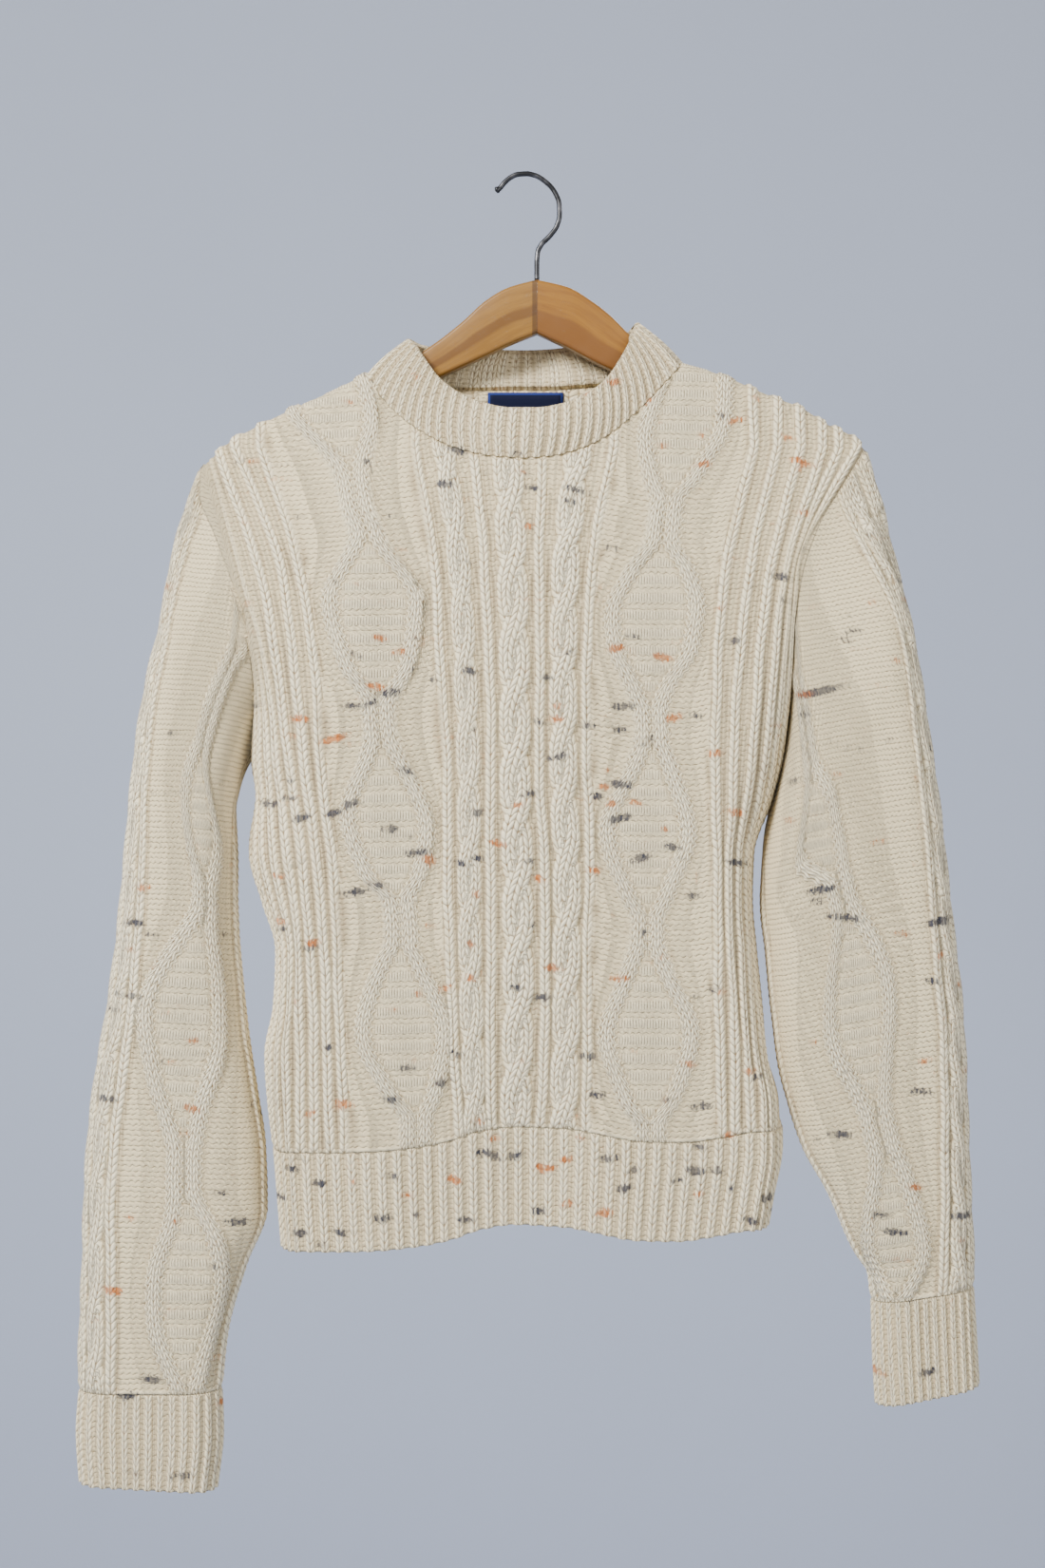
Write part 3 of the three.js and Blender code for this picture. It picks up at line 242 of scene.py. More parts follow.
# Upper edge of the neckband from the left neck point over the front to the right one, and back
BAND_FRONT = {
    "x": [-87, -83, -76, -66, -52, -37, -16, 1, 19, 33, 47, 57, 66, 70],
    "y": [0, -9, -15, -19, -22, -24, -26, -26, -25, -23, -20, -16, -13, 0],
    "z": [-112, -117, -128, -142, -153, -160, -164, -164, -161, -155, -145, -131, -114, -101],
}
BAND_BACK = {
    "x": [70, 64, 42, 0, -42, -78, -87],
    "y": [0, 12, 20, 25, 21, 12, 0],
    "z": [-101, -106, -112, -116, -116, -114, -112],
}
BAND_SPLIT = 0.58
BAND_BULGE = 2.4
BAND_LEAD = 0.045
LABEL = {"left": -33, "right": 20, "top": -147, "bottom": -174}

# Wooden hanger: top and bottom line of each arm, from the middle out
ARM_THICK = 12
ARM_ROUND = 3.0
ARM_LEFT = {
    "x": [-219, -212, -193, -166, -140, -110, -92, -75, -65, -50, -34, -18.5, 1.36],
    "top": [-200, -192, -180, -166, -155, -146, -132, -119.5, -112.5, -100.5, -86, -77, -71.5],
    "bottom": [-208, -209, -201, -188, -176, -163, -153, -144, -139, -132, -124.5, -117, -109],
}
ARM_RIGHT = {
    "x": [1.37, 23, 39, 52, 66, 82, 97, 133, 164, 185, 202, 214, 220],
    "top": [-71.5, -76.7, -86, -96, -110, -125, -137.5, -145, -158, -167, -178, -185, -191],
    "bottom": [-109, -119, -127.5, -134, -140, -148, -156, -169, -181, -189, -197, -200, -199],
}

# Hook: the bent wire from its ball tip over the nail side and down into the wood
WIRE_RADIUS = 1.8
TIP_RADIUS = 2.5
WIRE_LENGTH = 176.0
WIRE_START = 3
HOOK = {
    "x": [-27.8, -24.6, -21, -16.6, -11.9, -5.5, 0, 7, 13.5, 17, 17.2, 15.2, 9.9, 4.6, 2, 1.4, 1.4],
    "z": [-9.2, -7.4, -3.2, 0.4, 2.4, 2.8, 1.7, -2.4, -9.4, -18.6, -26, -33.7, -41, -46.4, -52, -60, -71.1],
}

# Ribs in the hem, the cuffs and the neckband
HEM_RIBS = 40
CUFF_RIBS = 29
BAND_RIBS = 54


def read(table, column, at, key="z"):
    """A column of a table at places along it, as a smooth curve through its rows."""
    xs = np.asarray(table[key], float)
    ys = np.asarray(table[column], float)
    at = np.clip(np.asarray(at, float), xs[0], xs[-1])
    span = np.diff(xs)
    rise = np.diff(ys) / span
    slope = np.empty(len(xs))
    slope[0] = rise[0]
    slope[-1] = rise[-1]
    product = rise[:-1] * rise[1:]
    both = rise[:-1] + rise[1:]
    slope[1:-1] = np.where(product > 0, 2 * product / np.where(both == 0, 1, both), 0)
    i = np.clip(np.searchsorted(xs, at, side="right") - 1, 0, len(xs) - 2)
    t = (at - xs[i]) / span[i]
    t2 = t * t
    t3 = t2 * t
    level = ys[i] + (ys[i + 1] - ys[i]) * (3 * t2 - 2 * t3)
    return level + span[i] * (slope[i] * (t3 - 2 * t2 + t) + slope[i + 1] * (t3 - t2))


def blend(a, b, share):
    return a + (b - a) * share


def smooth(a, b, x):
    t = np.clip((x - a) / (b - a), 0, 1)
    return t * t * (3 - 2 * t)


def quarter_of(radius, depth):
    return math.pi / 4 * np.hypot(radius, depth) * math.sqrt(2)


def rolled(distance, flat, radius, depth, turn):
    """Points of a half section that is flat in the middle and turns in at its end."""
    angle = np.minimum(turn, (distance - flat) / quarter_of(radius, depth) * math.pi / 2)
    past = distance > flat
    along = np.where(past, flat + radius * np.sin(angle), distance)
    return along, np.where(past, np.cos(angle), 1.0)


def body_side(z, side):
    edge = np.abs(read(BODY, side, z))
    radius = read(BODY, side + "_roll", z)
    turn = np.radians(read(BODY, side + "_turn", z))
    flat = edge - radius * np.sin(turn)
    return flat, radius, turn, flat + quarter_of(radius, FRONT_DEPTH) * turn / (math.pi / 2)


def fold(x, z):
    out = 0
    for row in FOLDS:
        u = (x - row["x"]) / row["half"]
        v = (z - row["z"]) / row["reach"]
        out = out + row["out"] * np.exp(-u * u - v * v)
    return out


def body_point(across, z, back):
    """Points of the body's outer form, across in millimetres of cloth from the middle."""
    left = across < 0
    sides = [np.where(left, a, b) for a, b in zip(body_side(z, "left"), body_side(z, "right"))]
    flat, radius, turn, end = sides
    along, share = rolled(np.minimum(np.abs(across), end), flat, radius, FRONT_DEPTH, turn)
    x = np.where(left, -1, 1) * along
    drop = read(SHOULDER, "z", x, "x") - z
    depth = BACK_DEPTH if back else FRONT_DEPTH
    out = (depth * read(RISE, "share", drop, "drop") + fold(x, z)) * share
    return np.stack([x, (1 if back else -1) * (out + SEAM_GAP / 2), z], -1)


def hem_top(x):
    return read(HEM, "z", x, "x") + HEM_RIB


def tops_of(lines, back):
    """Where lines across the chart meet the shoulder or the neckline."""
    neck = BACK_NECK if back else FRONT_NECK
    low = np.full(lines.count, -260.0)
    high = np.full(lines.count, -100.0)
    for _ in range(30):
        z = (low + high) / 2
        x = lines.at(z)
        in_neck = (x > NECK[0]) & (x < NECK[1])
        edge = np.where(in_neck, read(neck, "z", x, "x"), read(SHOULDER, "z", x, "x"))
        over = z > edge
        high = np.where(over, z, high)
        low = np.where(over, low, z)
    return (low + high) / 2


class Lines:
    """Fine columns between the lines of the chart, each with its own share between two of them."""

    def __init__(self, lines, steps):
        self.lines = lines
        first = []
        share = []
        for i, step in enumerate(steps):
            first += [i] * step
            share += [k / step for k in range(step)]
        self.first = np.array(first + [len(steps) - 1])
        self.share = np.array(share + [1.0])
        self.count = len(self.first)

    def at(self, z):
        """The place across of every column at its own height, z being one row or rows of heights."""
        every = np.stack([line(z) for line in self.lines], 0)
        columns = np.arange(self.count)
        if np.ndim(z) == 1:
            a = every[self.first, columns]
            b = every[self.first + 1, columns]
        else:
            a = np.moveaxis(every[self.first, :, columns], 0, -1)
            b = np.moveaxis(every[self.first + 1, :, columns], 0, -1)
        return blend(a, b, self.share)


def rib_line(name):
    return lambda z: read(RIBS, name, z)


def diamond_line(table, side, beyond=0.0):
    return lambda z: read(table, "middle", z) + side * (read(table, "spread", z) + beyond)


def between(one, two, share=0.5):
    return lambda z: blend(one(z), two(z), share)


LEFT_RIBS = ["left8", "left7", "left6", "left5", "left4", "left3", "left2", "left1"]
RIGHT_RIBS = ["right1", "right2", "right3", "right4", "right5", "right6"]
CENTRE_RIBS = ["centre1", "centre2", "centre3", "centre4"]


def cable_lines(table):
    """A column of diamonds: the cloth beside it, its two cables and its middle."""
    steps = ((-1, CABLE_SIDE), (-1, 0), (0, 0), (1, 0), (1, CABLE_SIDE))
    return [diamond_line(table, side, beyond) for side, beyond in steps]


def panel_lines():
    lines = [lambda z: -body_side(z, "left")[3]]
    lines += [rib_line(name) for name in LEFT_RIBS]
    lines += cable_lines(LEFT_DIAMONDS)
    lines += [rib_line(name) for name in CENTRE_RIBS]
    lines += cable_lines(RIGHT_DIAMONDS)
    lines += [rib_line(name) for name in RIGHT_RIBS]
    lines += [lambda z: body_side(z, "right")[3]]
    return lines


def wander(run, which, size=0.7):
    """A hand-knit line is never quite straight: a slow uneven sway along it."""
    slow = np.sin(run / 23.0 + 1.7 * which) + 0.6 * np.sin(run / 9.1 + 2.9 * which)
    return size * 0.6 * slow


class Chart:
    """What the knit does at every point of a piece: how far it stands out, and where its stitches run."""

    def __init__(self, shape):
        self.high = np.zeros(shape)
        self.leg = np.zeros(shape)
        self.vee = np.zeros(shape)
        self.bars = np.zeros(shape)
        self.deep = np.zeros(shape)
        self.near = np.full(shape, 1e9)

    def add(self, off, half, height, legs, dip=0.0, lift=0.0, groove_shade=1.0):
        """A raised run of V stitches: off is the distance from its middle, half its half width."""
        half = np.maximum(half, 0.05)
        d = off / half
        room = np.minimum(1, half / 3.5)
        form = np.sqrt(np.clip(1 - d * d, 0, 1))
        form = form * (1 - dip * np.exp(-((d / 0.2) ** 2)))
        high = np.where(np.abs(d) < 1, (height * form + lift) * room, 0)
        beyond = np.abs(off) - half
        nearer = np.where((self.high > 0) | (high > 0), high > self.high, beyond < self.near)
        self.leg = np.where(nearer, d * legs + legs % 2, self.leg)
        self.near = np.minimum(self.near, beyond)
        # Painted shade: a dark strip on the ground along each side of the run
        self.deep = np.maximum(self.deep, groove_shade * room * np.exp(-(((beyond - 0.9) / 1.1) ** 2)))
        self.high = np.maximum(self.high, high)
        self.vee = np.maximum(self.vee, smooth(1.25, 0.9, np.abs(d)) * room)

    def rib(self, off, half, run, height=2.6):
        beads = 1 + 0.1 * np.cos(2 * math.pi * (run / ROW + np.abs(off) * 0.2))
        self.add(off, half, height * beads, 1, dip=0.3)

    def rope(self, off, half, run, height=3.0):
        """Two strands that pass over each other, the one in front always leaning the same way."""
        turn = math.pi * run / ROPE_STEP
        for side in (1, -1):
            place = side * np.cos(turn) * 0.44
            lift = side * np.sin(turn) * 0.7
            width = 0.58 + 0.2 * np.abs(np.sin(turn))
            self.add(off - place * half, half * width, height, 2, lift=lift)

    def travel(self, off, run, height=2.4):
        beads = np.cos(2 * math.pi * (run / ROW - np.abs(off) * 0.12))
        self.add(off, TRAVEL_HALF + 0.9 * beads, height * (1 + 0.15 * beads), 3, groove_shade=0.6)

    def ladder(self, inside, run):
        """Rows of upright bars with smoother rows between them, inside a diamond."""
        inside = inside * (1 - self.vee)
        place = (run / LADDER_STEP) % 1
        band = smooth(0.02, 0.12, place) * smooth(0.6, 0.5, place)
        self.bars = np.maximum(self.bars, inside * band)
        self.high = np.maximum(self.high, inside * (0.6 + 0.7 * band))


def gap_half(lines, z, i):
    """Half the width a rib has where its neighbours stand close."""
    gaps = [np.abs(lines[i](z) - lines[k](z)) for k in (i - 1, i + 1) if 0 <= k < len(lines)]
    return np.minimum(RIB_HALF, 0.44 * np.minimum.reduce(gaps))


def panel_chart(across, z, run):
    chart = Chart(across.shape)
    for names in (LEFT_RIBS, RIGHT_RIBS):
        lines = [rib_line(name) for name in names]
        for i, line in enumerate(lines):
            chart.rib(across - line(z) + wander(run, i), gap_half(lines, z, i), run)
    centre = [rib_line(name) for name in CENTRE_RIBS]
    for i, line in enumerate(centre):
        chart.rib(across - line(z) + wander(run, i + 20), RIB_HALF, run)
    for i, half in enumerate(ROPE_HALVES):
        middle = between(centre[i], centre[i + 1])
        chart.rope(across - middle(z), half, run + 17 * i)
    for table in (LEFT_DIAMONDS, RIGHT_DIAMONDS):
        middle = read(table, "middle", z)
        spread = np.maximum(read(table, "spread", z), TRAVEL_HALF * 0.95)
        for side in (-1, 1):
            sway = wander(run, 30 + side, 0.9)
            chart.travel(across - middle - side * spread + sway, run)
        inside = smooth(0, 2.0, spread - TRAVEL_HALF * 0.8 - np.abs(across - middle))
        chart.ladder(inside, run)
    return chart


def normals_of(grid, wraps):
    """Outward normals of a grid of points, rows going down and columns across."""
    if wraps:
        wide = np.concatenate([grid[:, -1:], grid, grid[:, :1]], 1)
        across = wide[:, 2:] - wide[:, :-2]
    else:
        across = np.gradient(grid, axis=1)
    down = np.gradient(grid, axis=0)
    normal = np.cross(down, across)
    return normal / np.maximum(np.linalg.norm(normal, axis=-1, keepdims=True), 1e-9)


def run_of(grid, level=False):
    """Length down each column, counted from its foot; level leaves out how far a column leans."""
    step = np.linalg.norm(np.diff(grid, axis=0)[..., 1 if level else 0 :], axis=-1)
    run = np.concatenate([np.zeros((1, grid.shape[1])), np.cumsum(step, 0)], 0)
    return run - run[-1:]


def side_of(grid):
    """Length across each row from its first point."""
    step = np.linalg.norm(np.diff(grid, axis=1), axis=-1)
    return np.concatenate([np.zeros((grid.shape[0], 1)), np.cumsum(step, 1)], 1)


def fade_edges(high, grid, wraps, top=4.0, side=3.0):
    """Relief dies away at the edges, so that the seams stay closed and the neighbours clear."""
    run = run_of(grid)
    high = high * smooth(0, top, run - run[:1])
    if wraps:
        return high
    place = side_of(grid)
    return high * smooth(0, side, place) * smooth(0, side, place[:, -1:] - place)


def ease_join(high, distance, reach=5.0, level=1.3):
    """Relief comes to one level where two pieces are joined, so that no step shows between them."""
    share = smooth(reach, 0, distance)
    return high * (1 - share) + level * share


def picks(count, step):
    """Numbers 0 to count in steps of about step, with both ends."""
    return np.unique(np.round(np.linspace(0, count, max(2, round(count / step)) + 1)).astype(int))


def rim_faces(outer, inner, outer_at, inner_at):
    """Triangles that close the gap between a fine edge and a coarse one."""
    faces = []
    i = k = 0
    while i < len(outer) - 1 or k < len(inner) - 1:
        step_outer = k == len(inner) - 1 or (i < len(outer) - 1 and outer_at[i + 1] <= inner_at[k + 1])
        if step_outer:
            faces.append((outer[i + 1], outer[i], inner[k]))
            i += 1
        else:
            faces.append((inner[k], inner[k + 1], outer[i]))
            k += 1
    return faces


def shell(name, base, high, facts, wraps=False, thick=WALL, inset=0):
    """A closed knitted wall: fine raised outer points, and a coarser plain inner side."""
    rows, columns = base.shape[:2]
    normal = normals_of(base, wraps)
    outer = base + normal * high[..., None]
    down = picks(rows - 1, INNER_STEP)
    wide = picks(columns, INNER_STEP)[:-1] if wraps else picks(columns - 1, INNER_STEP)
    inner = (base - normal * thick)[np.ix_(down, wide)]
    if inset:
        inner[0] = blend(inner[0], inner[1], inset)
    points = np.concatenate([outer.reshape(-1, 3), inner.reshape(-1, 3)], 0) * MM
    outer_index = np.arange(rows * columns).reshape(rows, columns)
    inner_index = rows * columns + np.arange(len(down) * len(wide)).reshape(len(down), len(wide))
    if wraps:
        outer_index = np.concatenate([outer_index, outer_index[:, :1]], 1)
        inner_index = np.concatenate([inner_index, inner_index[:, :1]], 1)
        wide = np.append(wide, columns)
    quads = []
    for index, flip in ((outer_index, False), (inner_index, True)):
        a, b, c, d = index[:-1, :-1], index[:-1, 1:], index[1:, 1:], index[1:, :-1]
        order = (a, b, c, d) if flip else (a, d, c, b)
        quads.append(np.stack(order, -1).reshape(-1, 4))
    faces = [tuple(int(k) for k in row) for row in np.concatenate(quads, 0)]
    places = np.arange(outer_index.shape[1])
    edges = [
        (outer_index[0, ::-1], inner_index[0, ::-1], places, (wide.max() - wide)[::-1]),
        (outer_index[-1], inner_index[-1], places, wide),
    ]
    if not wraps:
        edges.append((outer_index[:, 0], inner_index[:, 0], np.arange(rows), down))
        back_down = (down.max() - down)[::-1]
        edges.append((outer_index[::-1, -1], inner_index[::-1, -1], np.arange(rows), back_down))
    smooth_count = len(faces)
    for one, two, one_at, two_at in edges:
        faces += rim_faces([int(k) for k in one], [int(k) for k in two], one_at, two_at)
    return make_mesh(name, points, faces, facts, smooth_count, (down, wide[:-1] if wraps else wide))


def make_mesh(name, points, faces, facts, smooth_count, inner=None):
    """A mesh with its facts at each point; faces past the first smooth_count are shaded flat."""
    mesh = bpy.data.meshes.new(name)
    mesh.from_pydata(points.tolist(), [], faces)
    mesh.update()
    for key, values in facts.items():
        whole = values.ravel()
        if inner is not None:
            whole = np.concatenate([whole, values[np.ix_(*inner)].ravel()])
        layer = mesh.attributes.new(key, "FLOAT", "POINT")
        layer.data.foreach_set("value", whole.astype(np.float32))
    piece = bpy.data.objects.new(name, mesh)
    bpy.context.scene.collection.objects.link(piece)
    mesh.polygons.foreach_set("use_smooth", [k < smooth_count for k in range(len(faces))])
    return piece


# Flecks in the yarn, by place on the front (x and z in mm), length along the row and strength
NAVY = [
    (-54, -194, 9, 0.8), (-62, -218, 10, 0.7), (-2, -220, 8, 0.5), (28, -222, 12, 0.6),
    (53, -261, 8, 0.5), (-43, -346, 9, 0.6), (8, -350, 7, 0.6), (24, -332, 7, 0.5),
    (60, -369, 12, 0.8), (57, -385, 9, 0.6), (3, -380, 7, 0.5), (35, -382, 9, 0.6),
    (16, -403, 10, 0.7), (-3, -428, 9, 0.6), (58, -422, 12, 0.8), (57, -445, 12, 0.9),
    (72, -472, 9, 1.0), (42, -430, 7, 0.5), (-40, -441, 10, 0.5), (-39, -472, 8, 0.5),
    (-50, -475, 9, 0.6), (-4, -474, 8, 0.5), (-13, -559, 9, 0.5), (3, -566, 12, 0.6),
    (-99, -360, 14, 0.7), (-111, -367, 9, 0.7), (-122, -369, 10, 0.7), (-88, -413, 9, 0.6),
    (-124, -435, 9, 0.7), (-135, -441, 10, 0.9), (-159, -445, 9, 0.8), (-98, -452, 9, 0.7),
    (-80, -468, 12, 0.8), (-80, -344, 8, 0.4), (167, -281, 12, 0.7), (193, -359, 20, 1.0),
    (135, -325, 9, 0.5), (66, -322, 8, 0.4), (-122, -495, 12, 0.9), (-106, -490, 9, 0.6),
    (-275, -565, 12, 0.6), (-272, -516, 10, 0.7), (-291, -636, 10, 0.6), (-203, -720, 12, 0.7),
    (-262, -828, 14, 0.8), (-279, -839, 10, 0.8), (-242, -894, 12, 0.6), (-181, -435, 10, 0.7),
    (-151, -532, 10, 0.6), (92, -464, 9, 0.6), (107, -497, 9, 0.6), (136, -475, 12, 0.6),
    (193, -493, 14, 0.8), (209, -512, 16, 0.7), (273, -515, 12, 0.9), (261, -630, 12, 0.6),
    (268, -555, 8, 0.5), (291, -716, 12, 0.7), (245, -726, 12, 0.7), (235, -714, 10, 0.6),
    (206, -659, 12, 0.7), (268, -823, 10, 0.7), (50, -675, 12, 0.6), (-34, -672, 12, 0.6),
    (-15, -675, 10, 0.5), (109, -684, 10, 0.6), (-47, -718, 10, 0.6), (-106, -716, 9, 0.5),
    (-145, -734, 9, 0.5), (148, -718, 9, 0.5), (-54, -604, 9, 0.5), (36, -606, 9, 0.5),
    (-86, -614, 9, 0.5), (109, -640, 10, 0.5), (120, -560, 9, 0.4), (-140, -600, 9, 0.4),
    (150, -620, 8, 0.4), (-170, -520, 8, 0.4), (-173, -703, 8, 0.8), (-159, -726, 8, 0.8),
    (-146, -692, 8, 0.7), (-132, -725, 8, 0.7), (-164, -682, 7, 0.6), (-102, -715, 8, 0.7),
    (-96, -635, 8, 0.7), (-63, -624, 7, 0.6), (-13, -674, 8, 0.9), (-27, -675, 7, 0.6),
    (61, -695, 8, 0.9), (66, -683, 7, 0.6), (106, -683, 8, 0.7), (111, -667, 7, 0.6),
    (123, -683, 7, 0.6), (157, -703, 7, 0.6), (147, -718, 8, 0.8), (3, -712, 8, 0.7),
    (42, -632, 8, 0.7), (115, -639, 8, 0.7), (-97, -687, 7, 0.5), (96, -690, 7, 0.4),
]
RUST = [
    (55, -330, 9, 0.7), (87, -336, 9, 0.8), (14, -378, 8, 0.7), (94, -377, 9, 0.6),
    (-72, -473, 8, 0.8), (3, -486, 8, 0.5), (12, -546, 9, 0.6), (57, -553, 9, 0.5),
    (-25, -462, 8, 0.5), (68, -434, 8, 0.5), (-108, -356, 9, 0.6), (-92, -332, 9, 0.5),
    (-135, -391, 12, 0.9), (-105, -323, 9, 0.5), (-160, -378, 9, 0.7), (122, -401, 9, 0.5),
    (183, -201, 12, 0.7), (138, -172, 9, 0.5), (115, -204, 9, 0.5), (-150, -529, 9, 0.5),
    (-233, -642, 9, 0.5), (-288, -766, 10, 0.7), (-131, -640, 9, 0.5), (5, -682, 9, 0.5),
    (258, -695, 9, 0.6), (235, -825, 9, 0.6), (135, -441, 9, 0.5), (105, -611, 9, 0.5),
    (-60, -560, 8, 0.4), (40, -480, 8, 0.5), (-130, -638, 8, 0.8), (-153, -645, 7, 0.5),
    (-55, -690, 8, 0.7), (9, -683, 8, 0.8), (21, -676, 7, 0.5), (47, -712, 8, 0.9),
    (21, -707, 7, 0.6), (-86, -700, 7, 0.5), (-28, -662, 7, 0.5), (132, -659, 7, 0.4),
]


def flecks(places, grid, seed, hidden):
    """How strongly each point is dyed: the placed flecks on what shows, and scattered ones everywhere."""
    x, z = grid[..., 0], grid[..., 2]
    total = np.zeros(x.shape)
    spots = [] if hidden else list(places)
    chance = np.random.default_rng(seed)
    low, high = grid.reshape(-1, 3).min(0), grid.reshape(-1, 3).max(0)
    extra = int((high[0] - low[0]) * (high[2] - low[2]) / (2700 if hidden else 4200))
    for _ in range(extra):
        place = (chance.uniform(low[0], high[0]), chance.uniform(low[2], high[2]))
        spots.append((*place, chance.uniform(4, 10), chance.uniform(0.25, 0.8) * (1 if hidden else 0.6)))
    for sx, sz, length, strength in spots:
        if not (low[0] - 20 < sx < high[0] + 20 and low[2] - 20 < sz < high[2] + 20):
            continue
        slant = chance.uniform(-0.25, 0.25)
        u = (x - sx) / (length * 0.65)
        v = (z - sz - slant * (x - sx)) / 2.5
        total = np.maximum(total, strength * np.exp(-u * u - v * v))
    return total


def facts_of(chart, grid, run, side, seed, hidden=False):
    out = np.full(grid.shape[:2], 1.0)
    return {
        "leg": chart.leg * out,
        "vee": chart.vee * out,
        "bars": chart.bars * out,
        # high: relief height, which also paints a highlight on the raised stitches
        "high": np.clip(chart.high / 3.4, 0, 1) * out,
        # deep: painted shade in the grooves, kept off the V stitches
        "deep": chart.deep * (1 - chart.vee) * out,
        "run": run * out,
        "side": side * out,
        "navy": flecks(NAVY, grid, seed, hidden),
        "rust": flecks(RUST, grid, seed + 1, hidden),
    }


# Heights at which the columns are shared out and the foot is read, and the hem's sides in x
COLUMNS_Z = -450.0
FOOT_Z = -660.0
HEM_Z = -700.0
HEM_SIDES = (-175, 170)


def panel(name, back, width, rows):
    """Front or back panel, with columns about width apart at the middle of the body."""
    lines = panel_lines()
    middle = np.array([COLUMNS_Z])
    places = [float(line(middle)[0]) for line in lines]
    steps = [max(1, round(abs(b - a) / width)) for a, b in zip(places, places[1:])]
    columns = Lines(lines, steps)
    tops = tops_of(columns, back)
    foot = hem_top(np.clip(columns.at(np.full(columns.count, FOOT_Z)), *HEM_SIDES)) + JOIN_GAP
    v = np.linspace(0, 1, rows + 1)[:, None]
    z = blend(tops, foot, blend(v, v * v, 0.2))
    across = columns.at(z)
    if back:
        z, across = z[:, ::-1], across[:, ::-1]
    base = body_point(across, z, back)
    run = run_of(base, level=True)
    chart = panel_chart(across, z, run)
    chart.high = fade_edges(ease_join(chart.high, -run), base, False)
    facts = facts_of(chart, base, run, across, 11 + 10 * back, back)
    return shell(name, base, chart.high, facts, inset=0.3)


def hem(name, back, columns, rows):
    """Front or back hem rib, from the panel's foot down."""
    left = -body_side(np.array([HEM_Z]), "left")[3][0]
    right = body_side(np.array([HEM_Z]), "right")[3][0]
    across = np.linspace(left, right, columns + 1)[None, :] * np.ones((rows + 1, 1))
    v = np.linspace(0, 1, rows + 1)[:, None]
    x = np.clip(across, *HEM_SIDES)
    z = blend(hem_top(x) - JOIN_GAP, hem_top(x) - HEM_RIB, v)
    end = np.where(across < 0, body_side(z, "left")[3], body_side(z, "right")[3])
    place = across / np.where(across < 0, -left, right) * end
    if back:
        z, place, across = z[:, ::-1], place[:, ::-1], across[:, ::-1]
    base = body_point(place, z, back)
    return ribbed(name, base, (across - left) / (right - left) * HEM_RIBS, False, 31 + 10 * back, back)


def ribbed(name, base, count, wraps, seed, hidden=False, height=2.3, thick=WALL, half=0.32, join=True):
    """A ribbed edge: narrow upright ribs of V stitches with deep gaps between them."""
    off = (count % 1) - 0.5
    chart = Chart(off.shape)
    chart.add(off, np.full(off.shape, half), height, 1, dip=0.35)
    form = np.sqrt(np.clip(1 - (off / half) ** 2, 0, 1))
    chart.high = height * form * (1 - 0.12 * np.exp(-((off / 0.08) ** 2)))
    chart.vee = smooth(1.25, 0.9, np.abs(off) / half)
    # Painted shade in the gaps between ribs, weaker where the edge is joined to a panel or sleeve
    chart.deep = smooth(half * 0.95, 0.5, np.abs(off)) * (0.35 if join else 1.0)
    run = run_of(base)
    if join:
        chart.high = ease_join(chart.high, run - run[:1], reach=3.0)
    chart.high = fade_edges(chart.high, base, wraps, top=0.01 if join else 1.2, side=1.5)
    facts = facts_of(chart, base, run, side_of(base), seed, hidden)
    return shell(name, base, chart.high, facts, wraps, thick)


def section_point(table, around, down):
    """Points of a sleeve or cuff, by share round it from its outer edge over the front."""
    rows = dict(table, share=np.linspace(0, 1, len(table["y"])))
    value = {key: read(rows, key, down, "share") for key in table}
    outer = np.stack([value["outer_x"], value["y"], value["outer_z"]], -1)
    inner = np.stack([value["inner_x"], value["y"], value["inner_z"]], -1)
    half = np.linalg.norm(inner - outer, axis=-1) / 2
    radius = np.minimum(value["roll"], half)
    depth = value["depth"]
    total = half - radius + quarter_of(radius, depth)
    back = around > 0.5
    place = np.where(back, 3 - 4 * around, 4 * around - 1) * total
    along, share = rolled(np.abs(place), half - radius, radius, depth, math.pi / 2)
    way = (inner - outer) / (2 * half)[..., None]
    point = (outer + inner) / 2 + way * (np.sign(place) * along)[..., None]
    point[..., 1] += np.where(back, 1, -1) * depth * share
    return point, total


# Middle of the neck in x, that the neckband bulges away from
NECK_MIDDLE_X = -8.0
SLEEVES = {"left": LEFT_SLEEVE, "right": RIGHT_SLEEVE}
CUFFS = {"left": LEFT_CUFF, "right": RIGHT_CUFF}
CUFF_LENGTH = 70

# Share of the sleeve's length over which it leaves the armhole
ARMHOLE_HOLD = 0.3


def around_of(columns, rows, mirrored=False):
    """Share round a tube at each point of its grid."""
    around = (np.arange(columns) / columns)[None, :] * np.ones((rows + 1, 1))
    return (1 - around) % 1 if mirrored else around


def armhole_point(side, share, back):
    table = SLEEVES[side]
    z = blend(table["outer_z"][0], UNDERARM[side], share)
    across = body_side(z, side)[3] * (-1 if side == "left" else 1)
    return body_point(across, z, back)


def sleeve_base(side, around, down):
    """Points of a sleeve, which starts on the armhole and then takes its own sections."""
    table = SLEEVES[side]
    point, total = section_point(table, around, down)
    hold = np.maximum(0, 1 - down / ARMHOLE_HOLD)
    back = around > 0.5
    share = np.where(back, 2 - 2 * around, 2 * around)
    seam = np.where(back[..., None], armhole_point(side, share, True), armhole_point(side, share, False))
    away = -1 if side == "left" else 1
    seam[..., 0] += away * (ARMHOLE_GAP + UNDERARM_CLEARANCE * share**4)
    start, _ = section_point(table, around, np.zeros_like(down))
    return point + (seam - start) * (hold * hold * (3 - 2 * hold))[..., None], total


# Ribs and ropes of a sleeve, from its outer fold: place and the rope's half width
SLEEVE_RIBS = (11.5, 34.5)
SLEEVE_ROPES = ((0.0, 7.0), (23.0, 7.0))
UNDERARM_RIB = 6.0


